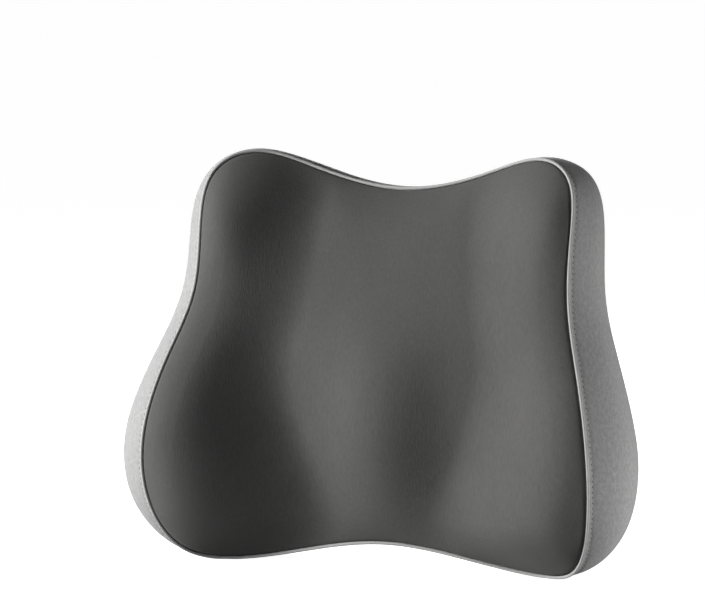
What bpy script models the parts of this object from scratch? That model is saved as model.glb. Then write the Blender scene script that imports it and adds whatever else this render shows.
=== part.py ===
"""Lumbar support cushion: a contoured foam core in a zipped fabric cover, with two buckled chair straps.

Metres, +Z up, the sitter's side faces -Y and the chair's side faces +Y.
The origin is on the floor under the middle of the cushion, which stands on its two lower lobes.
"""
import math

import bmesh
import bpy
import numpy as np
from mathutils import Vector

MM = 0.001

# where the cushion's own section plane lies in the world
DEPTH_ZERO = 20.7 * MM
HEIGHT_ZERO = 167.45 * MM

# half of the seam between the front panel and the side band, from bottom to top centre: x, z, forward (mm)
FRONT_SEAM = [(0, -140, 27), (83, -158.5, 22), (140, -169, 17), (177, -163, 46), (195, -119, 78),
              (197, -61, 90), (182, 3, 72), (162, 55, 46), (163, 113, 42), (164, 163, 28), (125, 183.5, 4),
              (69, 158.5, -10), (0, 142, -10)]
# the same for the line where the side band bulges out the furthest
BULGE = [(0, -142, -3), (76, -161, -1), (133, -172, 10), (186, -165, 32), (225, -120, 46), (230, -59, 49),
         (207.5, 3, 38), (183.5, 58, 15), (185, 117, 14), (177, 165, 0), (129, 188, -8), (68, 163.5, -20),
         (0, 145.5, -24)]
BULGE_EASE = 3
BULGE_WEIGHT = 2
BACK_FORWARD = -38
# how far the back seam lies in from the bulge: at the sides, at the ends, more at the top; and its taper
BACK_SIDE_IN = 2
BACK_END_IN = 5
BACK_TOP_IN = 3
BACK_TAPER = 0.4

# front relief at heights 60 mm apart from the top: how far forward the middle, the hollow beside it and
# the wing are, then the spine's width and where across the wing starts and ends (mm)
LEVEL_TOP = 180
LEVEL_STEP = 60
LEVELS = [(-14, -8, 26, 60, 58, 146), (9, 12, 50, 60, 62, 157), (27, 26, 58, 56, 68, 168),
          (48, 36, 80, 52, 78, 185), (53, 36, 92, 48, 64, 188), (39, 30, 84, 40, 38, 184),
          (26, 22, 34, 38, 36, 172)]
ROLL_START = 0.74
ROLL_POWER = 2.4

STATIONS = 72
FRONT_RINGS = [0.14, 0.3, 0.46, 0.61, 0.75, 0.87, 0.95]
BAND_ROWS = [0.22, 0.38, 0.54, 0.7, 0.86]

COVER = 1.2 * MM
LINER = 0.5 * MM
LINER_INSET = 2.0 * MM
FOAM_INSET = 3.2 * MM
LINER_BACK = 6.0 * MM
LINER_SLIT = (90 * MM, 4 * MM, 124 * MM)
FOAM_BACK = 7.2 * MM
PIPING_RADIUS = 1.3 * MM
SEAM_GAP = 4.2 * MM
BACK_GAP = 1.6 * MM
GAP = 0.3 * MM
RIM_EASE = 0.5 * MM

ZIP_HEIGHT = 84 * MM
ZIP_LENGTH = 366 * MM
ZIP_SPLIT = 9 * MM
TAPE_NEAR = 1.6 * MM
TAPE_WIDTH = 14 * MM
TAPE_THICKNESS = 0.6 * MM
COIL_WIDTH = 2.1 * MM
COIL_HEIGHT = 1.6 * MM
COIL_END = 16 * MM
ZIP_TRAVEL_START = -146 * MM
# stops: where along the zip, how long, near and far from its middle line, how high
TOP_STOP = {"before": 13 * MM, "long": 4 * MM, "near": 0.6 * MM, "far": 2.4 * MM, "high": 1.7 * MM}
BOTTOM_STOP = {"before": 15.5 * MM, "long": 4 * MM, "far": 2.9 * MM, "high": 2.0 * MM}
SLIDER = {"long": 6 * MM, "half": 4.4 * MM, "plate": 1.3 * MM, "top": 1.4 * MM, "nose": 2.2 * MM,
          "channel": 2.7 * MM, "wedge": 1.3 * MM, "branch": 2.9 * MM, "past": 1 * MM}
BAIL = {"long": 3.6 * MM, "half": 1.1 * MM, "sunk": 0.5 * MM, "high": 3.2 * MM, "eye_long": 1.9 * MM,
        "eye_low": 0.1 * MM, "eye_high": 2.2 * MM, "axis": 1.2 * MM}
PULL = {"root": 0.6 * MM, "long": 27 * MM, "half": 3.2 * MM, "thick": 1.2 * MM, "window_start": 0.7 * MM,
        "window_end": 7.5 * MM, "window_half": 1.9 * MM, "hole_at": 23.5 * MM, "hole": 1.3 * MM}
CUT_PAST = 3 * MM

STRAP_HEIGHTS = {"upper": 244 * MM, "lower": 150 * MM}
STRAP_HALF = {"upper": 152 * MM, "lower": 179 * MM}
WEB_WIDTH = 25 * MM
WEB = 1.2 * MM
SOCKET_LENGTH = 34 * MM
SOCKET_WIDTH = 33 * MM
BUCKLE_THICKNESS = 8 * MM
BAR = 3 * MM
BAR_DEPTH = 2.4 * MM
SLOT = 2.6 * MM
CAVITY_HALF = 13.8 * MM
CAVITY_THICKNESS = 3.8 * MM
CAVITY_END = -9 * MM
WINDOW_START = -6.5 * MM
WINDOW_END = 5.2 * MM
WINDOW_EASE = 0.35 * MM
SLOT_HALF = WEB_WIDTH / 2 + 0.8 * MM
BUCKLE_ROUND = 1.6 * MM
PLUG_LENGTH = 13 * MM
PRONG_THICKNESS = 3.2 * MM
PRONG_END = -7 * MM
PRONG_HALF = 2.2 * MM
MOUTH = 14 * MM
MOUTH_GAP = 0.5 * MM
LOOP_TAIL = {"left": 36 * MM, "right": 62 * MM}
CUT_THROUGH = 9 * MM

BACK_Y = DEPTH_ZERO - BACK_FORWARD * MM
BUCKLE_Y = BACK_Y + 0.4 * MM + BUCKLE_THICKNESS / 2


def clear_scene():
    for thing in list(bpy.data.objects):
        bpy.data.objects.remove(thing, do_unlink=True)


def collection(name):
    made = bpy.data.collections.new(name)
    bpy.context.scene.collection.children.link(made)
    return made


def material(name, colour, roughness, metallic=0.0):
    made = bpy.data.materials.get(name)
    if made is None:
        made = bpy.data.materials.new(name)
        made.use_nodes = True
        made.diffuse_color = (*colour, 1)
        shader = made.node_tree.nodes["Principled BSDF"]
        shader.inputs["Base Color"].default_value = (*colour, 1)
        shader.inputs["Roughness"].default_value = roughness
        shader.inputs["Metallic"].default_value = metallic
    return made


CHARCOAL = ("charcoal_velour", (0.055, 0.056, 0.058), 0.95)
HEATHER = ("heather_grey_knit", (0.36, 0.36, 0.36), 0.92)
PIPING_GREY = ("piping_grey", (0.55, 0.55, 0.54), 0.8)
BACK_MESH = ("back_knit", (0.06, 0.061, 0.063), 0.9)
FOAM = ("memory_foam", (0.86, 0.84, 0.74), 0.9)
LINER_CLOTH = ("liner_knit", (0.88, 0.88, 0.87), 0.9)
ZIP_TAPE = ("zip_tape", (0.05, 0.05, 0.052), 0.85)
ZIP_NYLON = ("zip_nylon", (0.035, 0.035, 0.037), 0.45)
ZIP_METAL = ("zip_metal", (0.42, 0.42, 0.43), 0.35, 1.0)
WEBBING = ("elastic_webbing", (0.03, 0.03, 0.032), 0.85)
BUCKLE_PLASTIC = ("buckle_acetal", (0.022, 0.022, 0.024), 0.42)


def keep(thing, name, look, parts):
    """Names an object and its mesh, gives it its material and moves it into the object's collection."""
    for old in list(thing.users_collection):
        old.objects.unlink(thing)
    parts.objects.link(thing)
    thing.name = name
    thing.data.name = name
    thing.data.materials.clear()
    thing.data.materials.append(material(*look))
    return thing


def world(x, z, forward):
    """A point given in the cushion's own millimetres, in the world's metres."""
    return (x * MM, DEPTH_ZERO - forward * MM, z * MM + HEIGHT_ZERO)


def closed_curve(half):
    """Points round a closed smooth curve through a mirrored half list of controls, one for each station."""
    half = np.array(half, float)
    left = half[-2:0:-1] * (-1, 1, 1)
    controls = np.vstack([half, left])
    count = len(controls)
    points = []
    for station in range(STATIONS):
        place = station * count / STATIONS
        i = int(place)
        f = place - i
        weights = ((1 - f) ** 3, 3 * f ** 3 - 6 * f ** 2 + 4, -3 * f ** 3 + 3 * f ** 2 + 3 * f + 1, f ** 3)
        points.append(sum(w * controls[(i + k - 1) % count] for k, w in enumerate(weights)) / 6)
    return np.array(points)


def level_values(z):
    """The relief values at a height, smoothly between the levels."""
    place = min(max((LEVEL_TOP - z) / LEVEL_STEP, 0.0), len(LEVELS) - 1.001)
    i = int(place)
    f = place - i
    a, b, c, d = (np.array(LEVELS[min(max(i + k, 0), len(LEVELS) - 1)], float) for k in (-1, 0, 1, 2))
    bend = 2 * a - 5 * b + 4 * c - d
    twist = 3 * b - a - 3 * c + d
    return 0.5 * (2 * b + (c - a) * f + bend * f ** 2 + twist * f ** 3)


def relief(x, z):
    """How far forward the front surface lies: a spine ridge, hollows beside it and wings."""
    middle, hollow, wing, spine, start, end = level_values(z)
    ridge = math.exp(-(x / spine) ** 2)
    rise = min(max((abs(x) - start) / (end - start), 0.0), 1.0)
    rise = rise * rise * (3 - 2 * rise)
    return hollow + (middle - hollow) * ridge + (wing - hollow) * rise


def front_ring(seam, fraction):
    """One ring of the front surface, at a fraction of the way from the centre to the seam."""
    points = []
    for x, z, forward in seam:
        share = max(fraction - ROLL_START, 0) / (1 - ROLL_START)
        drop = (forward - relief(x, z)) * share ** ROLL_POWER
        points.append((x * fraction, z * fraction, relief(x * fraction, z * fraction) + drop))
    return np.array(points)


def outward(curve):
    """Unit directions out of a closed curve, across it in the x, z plane."""
    along = np.roll(curve, -1, axis=0) - np.roll(curve, 1, axis=0)
    across = np.stack([along[:, 1], -along[:, 0], np.zeros(len(curve))], axis=1)
    return across / np.linalg.norm(across, axis=1, keepdims=True)


def back_seam(bulge):
    """The flat seam round the back: the band tapers in from its bulge, more where it is deeper."""
    out = outward(bulge)
    depth = bulge[:, 2] - BACK_FORWARD
    back = bulge.copy()
    back[:, 0] -= out[:, 0] * (BACK_SIDE_IN + BACK_TAPER * depth)
    back[:, 1] -= out[:, 1] * (BACK_END_IN + BACK_TOP_IN * out[:, 1])
    back[:, 2] = BACK_FORWARD
    return back


def band_corner(seam, bulge, back):
    """The corner of the conic that runs from the front seam over the bulge to the back seam."""
    crest = bulge - outward(bulge) * BULGE_EASE
    return crest * (1 + 1 / BULGE_WEIGHT) - (seam + back) / (2 * BULGE_WEIGHT)


def band_section(seam, corner, back, places):
    """Points of one section of the side band at distances along it, from the back seam if negative."""
    s = np.linspace(0, 1, 80)[:, None]
    weights = ((1 - s) ** 2, 2 * BULGE_WEIGHT * s * (1 - s), s ** 2)
    line = (seam * weights[0] + corner * weights[1] + back * weights[2]) / sum(weights)
    reached = np.concatenate([[0], np.cumsum(np.linalg.norm(np.diff(line, axis=0), axis=1))])
    length = reached[-1]
    wanted = [length * p if 0 < p < 1 else (p + length) % length for p in places]
    return [[np.interp(w, reached, line[:, axis]) for axis in range(3)] for w in wanted]


def rows_mesh(name, rows, first_point=None, last_point=None):
    """A surface through rows of stations; an end point closes it there. Its faces point outward."""
    mesh = bpy.data.meshes.new(name)
    made = bmesh.new()
    grid = [[made.verts.new(p) for p in row] for row in rows]
    for row, following in zip(grid, grid[1:]):
        for k in range(STATIONS):
            n = (k + 1) % STATIONS
            made.faces.new((row[k], row[n], following[n], following[k]))
    if first_point is not None:
        tip = made.verts.new(first_point)
        for k in range(STATIONS):
            made.faces.new((tip, grid[0][(k + 1) % STATIONS], grid[0][k]))
    if last_point is not None:
        tip = made.verts.new(last_point)
        for k in range(STATIONS):
            made.faces.new((tip, grid[-1][k], grid[-1][(k + 1) % STATIONS]))
    bmesh.ops.reverse_faces(made, faces=made.faces)
    made.to_mesh(mesh)
    made.free()
    mesh.shade_smooth()
    mesh.set_sharp_from_angle(angle=math.radians(50))
    made_object = bpy.data.objects.new(name, mesh)
    bpy.context.scene.collection.objects.link(made_object)
    return made_object


def add_solidify(thing, thickness, offset=-1.0):
    shell = thing.modifiers.new("thickness", "SOLIDIFY")
    shell.thickness = thickness
    shell.offset = offset
    shell.use_even_offset = True
    shell.thickness_clamp = 1
    return shell


def to_world(points):
    return np.array([world(*p) for p in points])


def shape_rows():
    """World rows of the whole outer skin, front centre to back seam, and where each region starts."""
    seam = closed_curve(FRONT_SEAM)
    bulge = closed_curve(BULGE)
    back = back_seam(bulge)
    front = [to_world(front_ring(seam, f)) for f in FRONT_RINGS]
    reach = np.linalg.norm(seam[:, :2], axis=1)
    edge = []
    for k in range(STATIONS):
        edge.append(front_ring(seam[k:k + 1], 1 - SEAM_GAP / MM / reach[k])[0])
    corner = band_corner(seam, bulge, back)
    places = [SEAM_GAP / MM] + BAND_ROWS + [-BACK_GAP / MM]
    sections = [band_section(seam[k], corner[k], back[k], places) for k in range(STATIONS)]
    band = [to_world([section[row] for section in sections]) for row in range(len(places))]
    return {"front": front, "edge": to_world(edge), "seam": to_world(seam), "start": band[0],
            "band": band[1:-1], "end": band[-1], "back": to_world(back)}


def inset_skin(name, rows, inset, back_inset):
    """The whole skin moved inward, closed by a flat back: the shape of what fills the cover."""
    outer = rows["front"] + [rows["seam"]] + rows["band"] + [rows["back"]]
    tip = world(0, 0, relief(0, 0))
    made = rows_mesh(name, outer, first_point=tip)
    mesh = made.data
    shape = bmesh.new()
    shape.from_mesh(mesh)
    shape.normal_update()
    moves = [-v.normal * inset * min(v.calc_shell_factor(), 1.5) for v in shape.verts]
    limit = BACK_Y - back_inset
    for v, move in zip(shape.verts, moves):
        v.co += move
        if v.co.y > limit - 1e-6:
            v.co.y = limit
    rim = [v for v in shape.verts if v.is_boundary]
    for v in rim:
        v.co.y = limit
        v.co.x -= math.copysign(min(abs(v.co.x), RIM_EASE), v.co.x)
    shape.to_mesh(mesh)
    shape.free()
    return made


def close_back(thing, hole=None):
    """Fills the open back of an inset skin with a flat face, with a lens-shaped slit in it if asked."""
    mesh = thing.data
    shape = bmesh.new()
    shape.from_mesh(mesh)
    rim = [e for e in shape.edges if e.is_boundary]
    if hole is None:
        bmesh.ops.contextual_create(shape, geom=rim)
    else:
        half_length, half_height, height = hole
        y = rim[0].verts[0].co.y
        count = 24
        slit = []
        for k in range(count):
            a = 2 * math.pi * k / count
            slit.append(shape.verts.new((half_length * math.cos(a), y, height + half_height * math.sin(a))))
        edges = [shape.edges.new((slit[k], slit[(k + 1) % count])) for k in range(count)]
        bmesh.ops.triangle_fill(shape, use_beauty=True, edges=rim + edges, normal=(0, 1, 0))
    bmesh.ops.recalc_face_normals(shape, faces=shape.faces)
    shape.to_mesh(mesh)
    shape.free()


def build_cover(rows, parts):
    front = rows_mesh("front_panel", rows["front"] + [rows["edge"]], first_point=world(0, 0, relief(0, 0)))
    add_solidify(front, COVER)
    keep(front, "front_panel", CHARCOAL, parts)
    band = rows_mesh("side_band", [rows["start"]] + rows["band"] + [rows["end"]])
    add_solidify(band, COVER)
    keep(band, "side_band", HEATHER, parts)
    curve = bpy.data.curves.new("front_piping", "CURVE")
    curve.dimensions = "3D"
    curve.bevel_depth = PIPING_RADIUS
    curve.bevel_resolution = 1
    line = curve.splines.new("POLY")
    line.points.add(STATIONS - 1)
    for point, place in zip(line.points, rows["seam"]):
        point.co = (*place, 1)
    line.use_cyclic_u = True
    piping = bpy.data.objects.new("front_piping", curve)
    bpy.context.scene.collection.objects.link(piping)
    keep(piping, "front_piping", PIPING_GREY, parts)


def build_filling(rows, parts):
    foam = inset_skin("foam_core", rows, FOAM_INSET, FOAM_BACK)
    close_back(foam)
    keep(foam, "foam_core", FOAM, parts)
    liner = inset_skin("inner_liner", rows, LINER_INSET, LINER_BACK)
    close_back(liner, hole=LINER_SLIT)
    add_solidify(liner, LINER)
    keep(liner, "inner_liner", LINER_CLOTH, parts)


def slab(name, low, high):
    """A box between two corners."""
    low = Vector(low)
    high = Vector(high)
    bpy.ops.mesh.primitive_cube_add(size=1, location=(low + high) / 2)
    made = bpy.context.object
    made.name = name
    for v in made.data.vertices:
        v.co = Vector(a * b for a, b in zip(v.co, high - low))
    return made


def bevel(thing, width, segments=2, limit=math.radians(40)):
    rounding = thing.modifiers.new("rounding", "BEVEL")
    rounding.width = width
    rounding.segments = segments
    rounding.angle_limit = limit
    return rounding


def cut(thing, cutter, cutters, operation="DIFFERENCE"):
    change = thing.modifiers.new(cutter.name, "BOOLEAN")
    change.operation = operation
    change.object = cutter
    for old in list(cutter.users_collection):
        old.objects.unlink(cutter)
    cutters.objects.link(cutter)
    cutter.hide_render = True
    cutter.display_type = "WIRE"


def back_outline(rows, keep_point):
    """Corners of the back seam on one side of the zip, set in by the seam gap, with the cut ends added."""
    points = []
    outline = []
    for x, _, z in rows["back"]:
        reach = math.hypot(x, z - HEIGHT_ZERO)
        scale = (reach - BACK_GAP) / reach
        outline.append((x * scale, HEIGHT_ZERO + (z - HEIGHT_ZERO) * scale))
    for k, (x, z) in enumerate(outline):
        x2, z2 = outline[(k + 1) % STATIONS]
        if keep_point(z):
            points.append((x, z))
        if keep_point(z) != keep_point(z2):
            edge = ZIP_HEIGHT + (ZIP_SPLIT if keep_point(ZIP_HEIGHT + 1) else -ZIP_SPLIT)
            f = (edge - z) / (z2 - z)
            points.append((x + (x2 - x) * f, edge))
    return points


def flat_panel(name, points, y, thickness):
    """A flat sheet whose outer face is at y and whose outline is given as x, z corners."""
    curve = bpy.data.curves.new(name, "CURVE")
    curve.dimensions = "2D"
    curve.fill_mode = "BOTH"
    curve.extrude = thickness / 2
    line = curve.splines.new("POLY")
    line.points.add(len(points) - 1)
    for point, (x, z) in zip(line.points, points):
        point.co = (x, z, 0, 1)
    line.use_cyclic_u = True
    made = bpy.data.objects.new(name, curve)
    made.rotation_euler = (math.radians(90), 0, 0)
    made.location.y = y - thickness / 2
    bpy.context.scene.collection.objects.link(made)
    return made


def build_back(rows, parts):
    upper = back_outline(rows, lambda z: z > ZIP_HEIGHT + ZIP_SPLIT)
    lower = back_outline(rows, lambda z: z < ZIP_HEIGHT - ZIP_SPLIT)
    keep(flat_panel("back_panel_upper", upper, BACK_Y, COVER), "back_panel_upper", BACK_MESH, parts)
    keep(flat_panel("back_panel_lower", lower, BACK_Y, COVER), "back_panel_lower", BACK_MESH, parts)


def build_zip(parts, cutters):
    tape_top = BACK_Y - COVER - GAP
    tape_low = tape_top - TAPE_THICKNESS
    coil_low = tape_top + GAP
    half = ZIP_LENGTH / 2
    for side, sign in (("upper", 1), ("lower", -1)):
        near = ZIP_HEIGHT + sign * TAPE_NEAR
        far = ZIP_HEIGHT + sign * TAPE_WIDTH
        tape = slab("zip_tape_" + side, (-half, tape_low, min(near, far)), (half, tape_top, max(near, far)))
        keep(tape, "zip_tape_" + side, ZIP_TAPE, parts)
        near = ZIP_HEIGHT + sign * GAP / 2
        far = near + sign * COIL_WIDTH
        coil = slab("zip_coil_" + side, (ZIP_TRAVEL_START - 1 * MM, coil_low, min(near, far)),
                    (half - COIL_END, coil_low + COIL_HEIGHT, max(near, far)))
        bevel(coil, 0.35 * MM, 1)
        keep(coil, "zip_coil_" + side, ZIP_NYLON, parts)
        near = ZIP_HEIGHT + sign * TOP_STOP["near"]
        far = ZIP_HEIGHT + sign * TOP_STOP["far"]
        start = ZIP_TRAVEL_START - TOP_STOP["before"]
        stop = slab("zip_top_stop_" + side, (start, coil_low, min(near, far)),
                    (start + TOP_STOP["long"], coil_low + TOP_STOP["high"], max(near, far)))
        bevel(stop, 0.4 * MM, 2)
        keep(stop, "zip_top_stop_" + side, ZIP_METAL, parts)
    start = half - BOTTOM_STOP["before"]
    end = start + BOTTOM_STOP["long"]
    far = BOTTOM_STOP["far"]
    stop = slab("zip_bottom_stop", (start, coil_low, ZIP_HEIGHT - far),
                (end, coil_low + BOTTOM_STOP["high"], ZIP_HEIGHT + far))
    bevel(stop, 0.5 * MM, 2)
    keep(stop, "zip_bottom_stop", ZIP_METAL, parts)
    build_slider(parts, cutters, tape_low, coil_low)


def build_slider(parts, cutters, tape_low, coil_low):
    """The slider: two plates joined by a wedge, with a bail on top that carries the pull."""
    x = ZIP_TRAVEL_START
    bottom = tape_low - SLIDER["plate"]
    top = coil_low + COIL_HEIGHT + SLIDER["top"]
    body = slab("zip_slider", (x - SLIDER["long"], bottom, ZIP_HEIGHT - SLIDER["half"]),
                (x + SLIDER["long"], top, ZIP_HEIGHT + SLIDER["half"]))
    bevel(body, 1.2 * MM, 2)
    low = tape_low - GAP
    high = coil_low + COIL_HEIGHT + GAP
    slit_high = low + TAPE_THICKNESS + 2 * GAP
    front = x - SLIDER["long"] - SLIDER["past"]
    rear = x + SLIDER["long"] + SLIDER["past"]
    nose = x - SLIDER["nose"]
    channel = slab("zip_slider_channel", (nose, low, ZIP_HEIGHT - SLIDER["channel"]),
                   (rear, high, ZIP_HEIGHT + SLIDER["channel"]))
    cut(body, channel, cutters)
    for side, sign in (("upper", 1), ("lower", -1)):
        wedge = ZIP_HEIGHT + sign * SLIDER["wedge"]
        branch_far = ZIP_HEIGHT + sign * SLIDER["branch"]
        middle = ZIP_HEIGHT + sign * 0.2 * MM
        outside = ZIP_HEIGHT + sign * (SLIDER["half"] + 1.6 * MM)
        for name, start, end, near, far, roof in (
                ("branch", front, x + SLIDER["past"], wedge, branch_far, high),
                ("slit", nose, rear, middle, outside, slit_high),
                ("front_slit", front, x - SLIDER["past"], wedge, outside, slit_high)):
            cutter = slab(f"zip_slider_{name}_{side}", (start, low, min(near, far)),
                          (end, roof, max(near, far)))
            cut(body, cutter, cutters)
    bail = slab("zip_slider_bail", (x - BAIL["long"], top - BAIL["sunk"], ZIP_HEIGHT - BAIL["half"]),
                (x + BAIL["long"], top + BAIL["high"], ZIP_HEIGHT + BAIL["half"]))
    bevel(bail, 0.7 * MM, 2)
    cut(body, bail, cutters, "UNION")
    eye = slab("zip_slider_eye", (x - BAIL["eye_long"], top + BAIL["eye_low"], ZIP_HEIGHT - CUT_PAST),
               (x + BAIL["eye_long"], top + BAIL["eye_high"], ZIP_HEIGHT + CUT_PAST))
    cut(body, eye, cutters)
    keep(body, "zip_slider", ZIP_METAL, parts)
    build_pull(parts, cutters, (x, top + BAIL["axis"]))


def build_pull(parts, cutters, axis):
    """The pull: a tab whose root bar lies through the bail, beside a window. Its origin is the axis."""
    x, y = axis
    thick = PULL["thick"] / 2
    tab = slab("zip_pull", (x - PULL["root"], y - thick, ZIP_HEIGHT - PULL["half"]),
               (x + PULL["long"], y + thick, ZIP_HEIGHT + PULL["half"]))
    for v in tab.data.vertices:
        v.co.x += tab.location.x - x
        v.co.y += tab.location.y - y
    tab.location.x = x
    tab.location.y = y
    bevel(tab, 0.35 * MM, 2)
    half = PULL["window_half"]
    window = slab("zip_pull_window", (x + PULL["window_start"], y - CUT_PAST, ZIP_HEIGHT - half),
                  (x + PULL["window_end"], y + CUT_PAST, ZIP_HEIGHT + half))
    cut(tab, window, cutters)
    bpy.ops.mesh.primitive_cylinder_add(vertices=20, radius=PULL["hole"], depth=2 * CUT_PAST,
                                        location=(x + PULL["hole_at"], y, ZIP_HEIGHT),
                                        rotation=(math.radians(90), 0, 0))
    hole = bpy.context.object
    hole.name = "zip_pull_hole"
    cut(tab, hole, cutters)
    keep(tab, "zip_pull", ZIP_METAL, parts)


def web_path(bar_x, end_x, tail):
    """Middle line of a webbing end: along the back, round a buckle bar and back over itself, as x, y."""
    out = math.copysign(1, end_x - bar_x)
    flat = BACK_Y + GAP + WEB / 2
    turn = math.hypot(BAR, BAR_DEPTH) / 2 + GAP + WEB / 2
    over = flat + WEB + GAP
    points = [(end_x, flat), (bar_x + out * 15 * MM, flat), (bar_x + out * 9 * MM, flat + 0.2 * MM),
              (bar_x + out * 3 * MM, BUCKLE_Y - turn)]
    for k in range(7):
        a = math.pi * k / 6
        points.append((bar_x - out * turn * math.sin(a), BUCKLE_Y - turn * math.cos(a)))
    points += [(bar_x + out * 4 * MM, BUCKLE_Y + turn - 0.2 * MM), (bar_x + out * 11 * MM, over + 0.6 * MM),
               (bar_x + out * 17 * MM, over), (bar_x + out * tail, over)]
    return points


def webbing(name, points, height, parts):
    """A flat strip that follows the path, standing on edge across the strap's width."""
    mesh = bpy.data.meshes.new(name)
    shape = bmesh.new()
    rails = []
    for z in (height - WEB_WIDTH / 2, height + WEB_WIDTH / 2):
        rails.append([shape.verts.new((x, y, z)) for x, y in points])
    for k in range(len(points) - 1):
        shape.faces.new((rails[0][k], rails[0][k + 1], rails[1][k + 1], rails[1][k]))
    shape.to_mesh(mesh)
    shape.free()
    made = bpy.data.objects.new(name, mesh)
    bpy.context.scene.collection.objects.link(made)
    add_solidify(made, WEB, 0.0)
    keep(made, name, WEBBING, parts)


def build_socket(name, height, parts, cutters):
    """The female half: a flat sleeve with an open mouth, two side windows and a webbing bar."""
    left = MOUTH - SOCKET_LENGTH
    half = SOCKET_WIDTH / 2
    body = slab(name, (left, BUCKLE_Y - BUCKLE_THICKNESS / 2, height - half),
                (MOUTH, BUCKLE_Y + BUCKLE_THICKNESS / 2, height + half))
    bevel(body, BUCKLE_ROUND, 2)
    thick = CAVITY_THICKNESS / 2
    cavity = slab(name + "_cavity", (CAVITY_END, BUCKLE_Y - thick, height - CAVITY_HALF),
                  (MOUTH + 2 * MM, BUCKLE_Y + thick, height + CAVITY_HALF))
    cut(body, cavity, cutters)
    tall = thick + WINDOW_EASE
    windows = slab(name + "_windows", (WINDOW_START, BUCKLE_Y - tall, height - half - 2 * MM),
                   (WINDOW_END, BUCKLE_Y + tall, height + half + 2 * MM))
    cut(body, windows, cutters)
    slot = slab(name + "_slot", (left + BAR, BUCKLE_Y - CUT_THROUGH, height - SLOT_HALF),
                (left + BAR + SLOT, BUCKLE_Y + CUT_THROUGH, height + SLOT_HALF))
    cut(body, slot, cutters)
    thin_bar(body, name, left - 1 * MM, left + BAR + 1 * MM, height, cutters)
    keep(body, name, BUCKLE_PLASTIC, parts)
    return left + BAR / 2


def thin_bar(body, name, low_x, high_x, height, cutters):
    """Cuts the end bar down to its own thickness, above and below."""
    for side, sign in (("outer", 1), ("inner", -1)):
        near = BUCKLE_Y + sign * BAR_DEPTH / 2
        far = BUCKLE_Y + sign * CUT_THROUGH
        reach = WEB_WIDTH / 2 + 0.5 * MM
        recess = slab(name + "_bar_" + side, (low_x, min(near, far), height - reach),
                      (high_x, max(near, far), height + reach))
        cut(body, recess, cutters)


def build_plug(name, height, parts, cutters):
    """The male half without its arms: a block with a webbing bar, and a guide prong."""
    start = MOUTH + MOUTH_GAP
    right = start + PLUG_LENGTH
    half = SOCKET_WIDTH / 2
    body = slab(name, (start, BUCKLE_Y - BUCKLE_THICKNESS / 2, height - half),
                (right, BUCKLE_Y + BUCKLE_THICKNESS / 2, height + half))
    bevel(body, BUCKLE_ROUND, 2)
    thick = PRONG_THICKNESS / 2
    prong = slab(name + "_prong", (PRONG_END, BUCKLE_Y - thick, height - PRONG_HALF),
                 (start + 2 * MM, BUCKLE_Y + thick, height + PRONG_HALF))
    bevel(prong, 0.8 * MM, 2)
    cut(body, prong, cutters, "UNION")
    slot = slab(name + "_slot", (right - BAR - SLOT, BUCKLE_Y - CUT_THROUGH, height - SLOT_HALF),
                (right - BAR, BUCKLE_Y + CUT_THROUGH, height + SLOT_HALF))
    cut(body, slot, cutters)
    thin_bar(body, name, right - BAR - 1 * MM, right + 1 * MM, height, cutters)
    keep(body, name, BUCKLE_PLASTIC, parts)
    return right - BAR / 2


# one flexing arm seen from the back, from its root: along the strap, outward from the middle (mm)
ARM_ROOT = (14.2, 9.4)
ARM_OUTLINE = [(0, -1.5), (0, 1.5), (-6, 1.7), (-9.4, 2.2), (-9.6, 6.6), (-12, 6.9), (-16, 6.2), (-19, 4.3),
               (-20.6, 1.6), (-20.4, -0.6), (-18.6, -1.8), (-14, -1.4), (-7, -1.4)]


def build_arm(name, height, sign, parts):
    """One springy arm, its origin at its root, with the catch lying in the socket's side window."""
    curve = bpy.data.curves.new(name, "CURVE")
    curve.dimensions = "2D"
    curve.fill_mode = "BOTH"
    curve.extrude = PRONG_THICKNESS / 2
    line = curve.splines.new("POLY")
    line.points.add(len(ARM_OUTLINE) - 1)
    for point, (x, z) in zip(line.points, ARM_OUTLINE):
        point.co = (x * MM, sign * z * MM, 0, 1)
    line.use_cyclic_u = True
    made = bpy.data.objects.new(name, curve)
    made.rotation_euler = (math.radians(90), 0, 0)
    made.location = (ARM_ROOT[0] * MM, BUCKLE_Y, height + sign * ARM_ROOT[1] * MM)
    bpy.context.scene.collection.objects.link(made)
    keep(made, name, BUCKLE_PLASTIC, parts)


def build_strap(tag, parts, cutters):
    height = STRAP_HEIGHTS[tag]
    end = STRAP_HALF[tag]
    socket_bar = build_socket(tag + "_buckle_socket", height, parts, cutters)
    plug_bar = build_plug(tag + "_buckle_plug", height, parts, cutters)
    build_arm(tag + "_buckle_arm_top", height, 1, parts)
    build_arm(tag + "_buckle_arm_bottom", height, -1, parts)
    webbing(tag + "_strap_left", web_path(socket_bar, -end, LOOP_TAIL["left"]), height, parts)
    webbing(tag + "_strap_right", web_path(plug_bar, end, LOOP_TAIL["right"]), height, parts)


def main():
    clear_scene()
    parts = collection("lumbar_support_cushion")
    cutters = collection("cutters")
    rows = shape_rows()
    build_cover(rows, parts)
    build_filling(rows, parts)
    build_back(rows, parts)
    build_zip(parts, cutters)
    for tag in STRAP_HEIGHTS:
        build_strap(tag, parts, cutters)


main()
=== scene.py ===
import math

import bmesh
import bpy
import numpy as np
from mathutils import Matrix, Vector, noise


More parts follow.
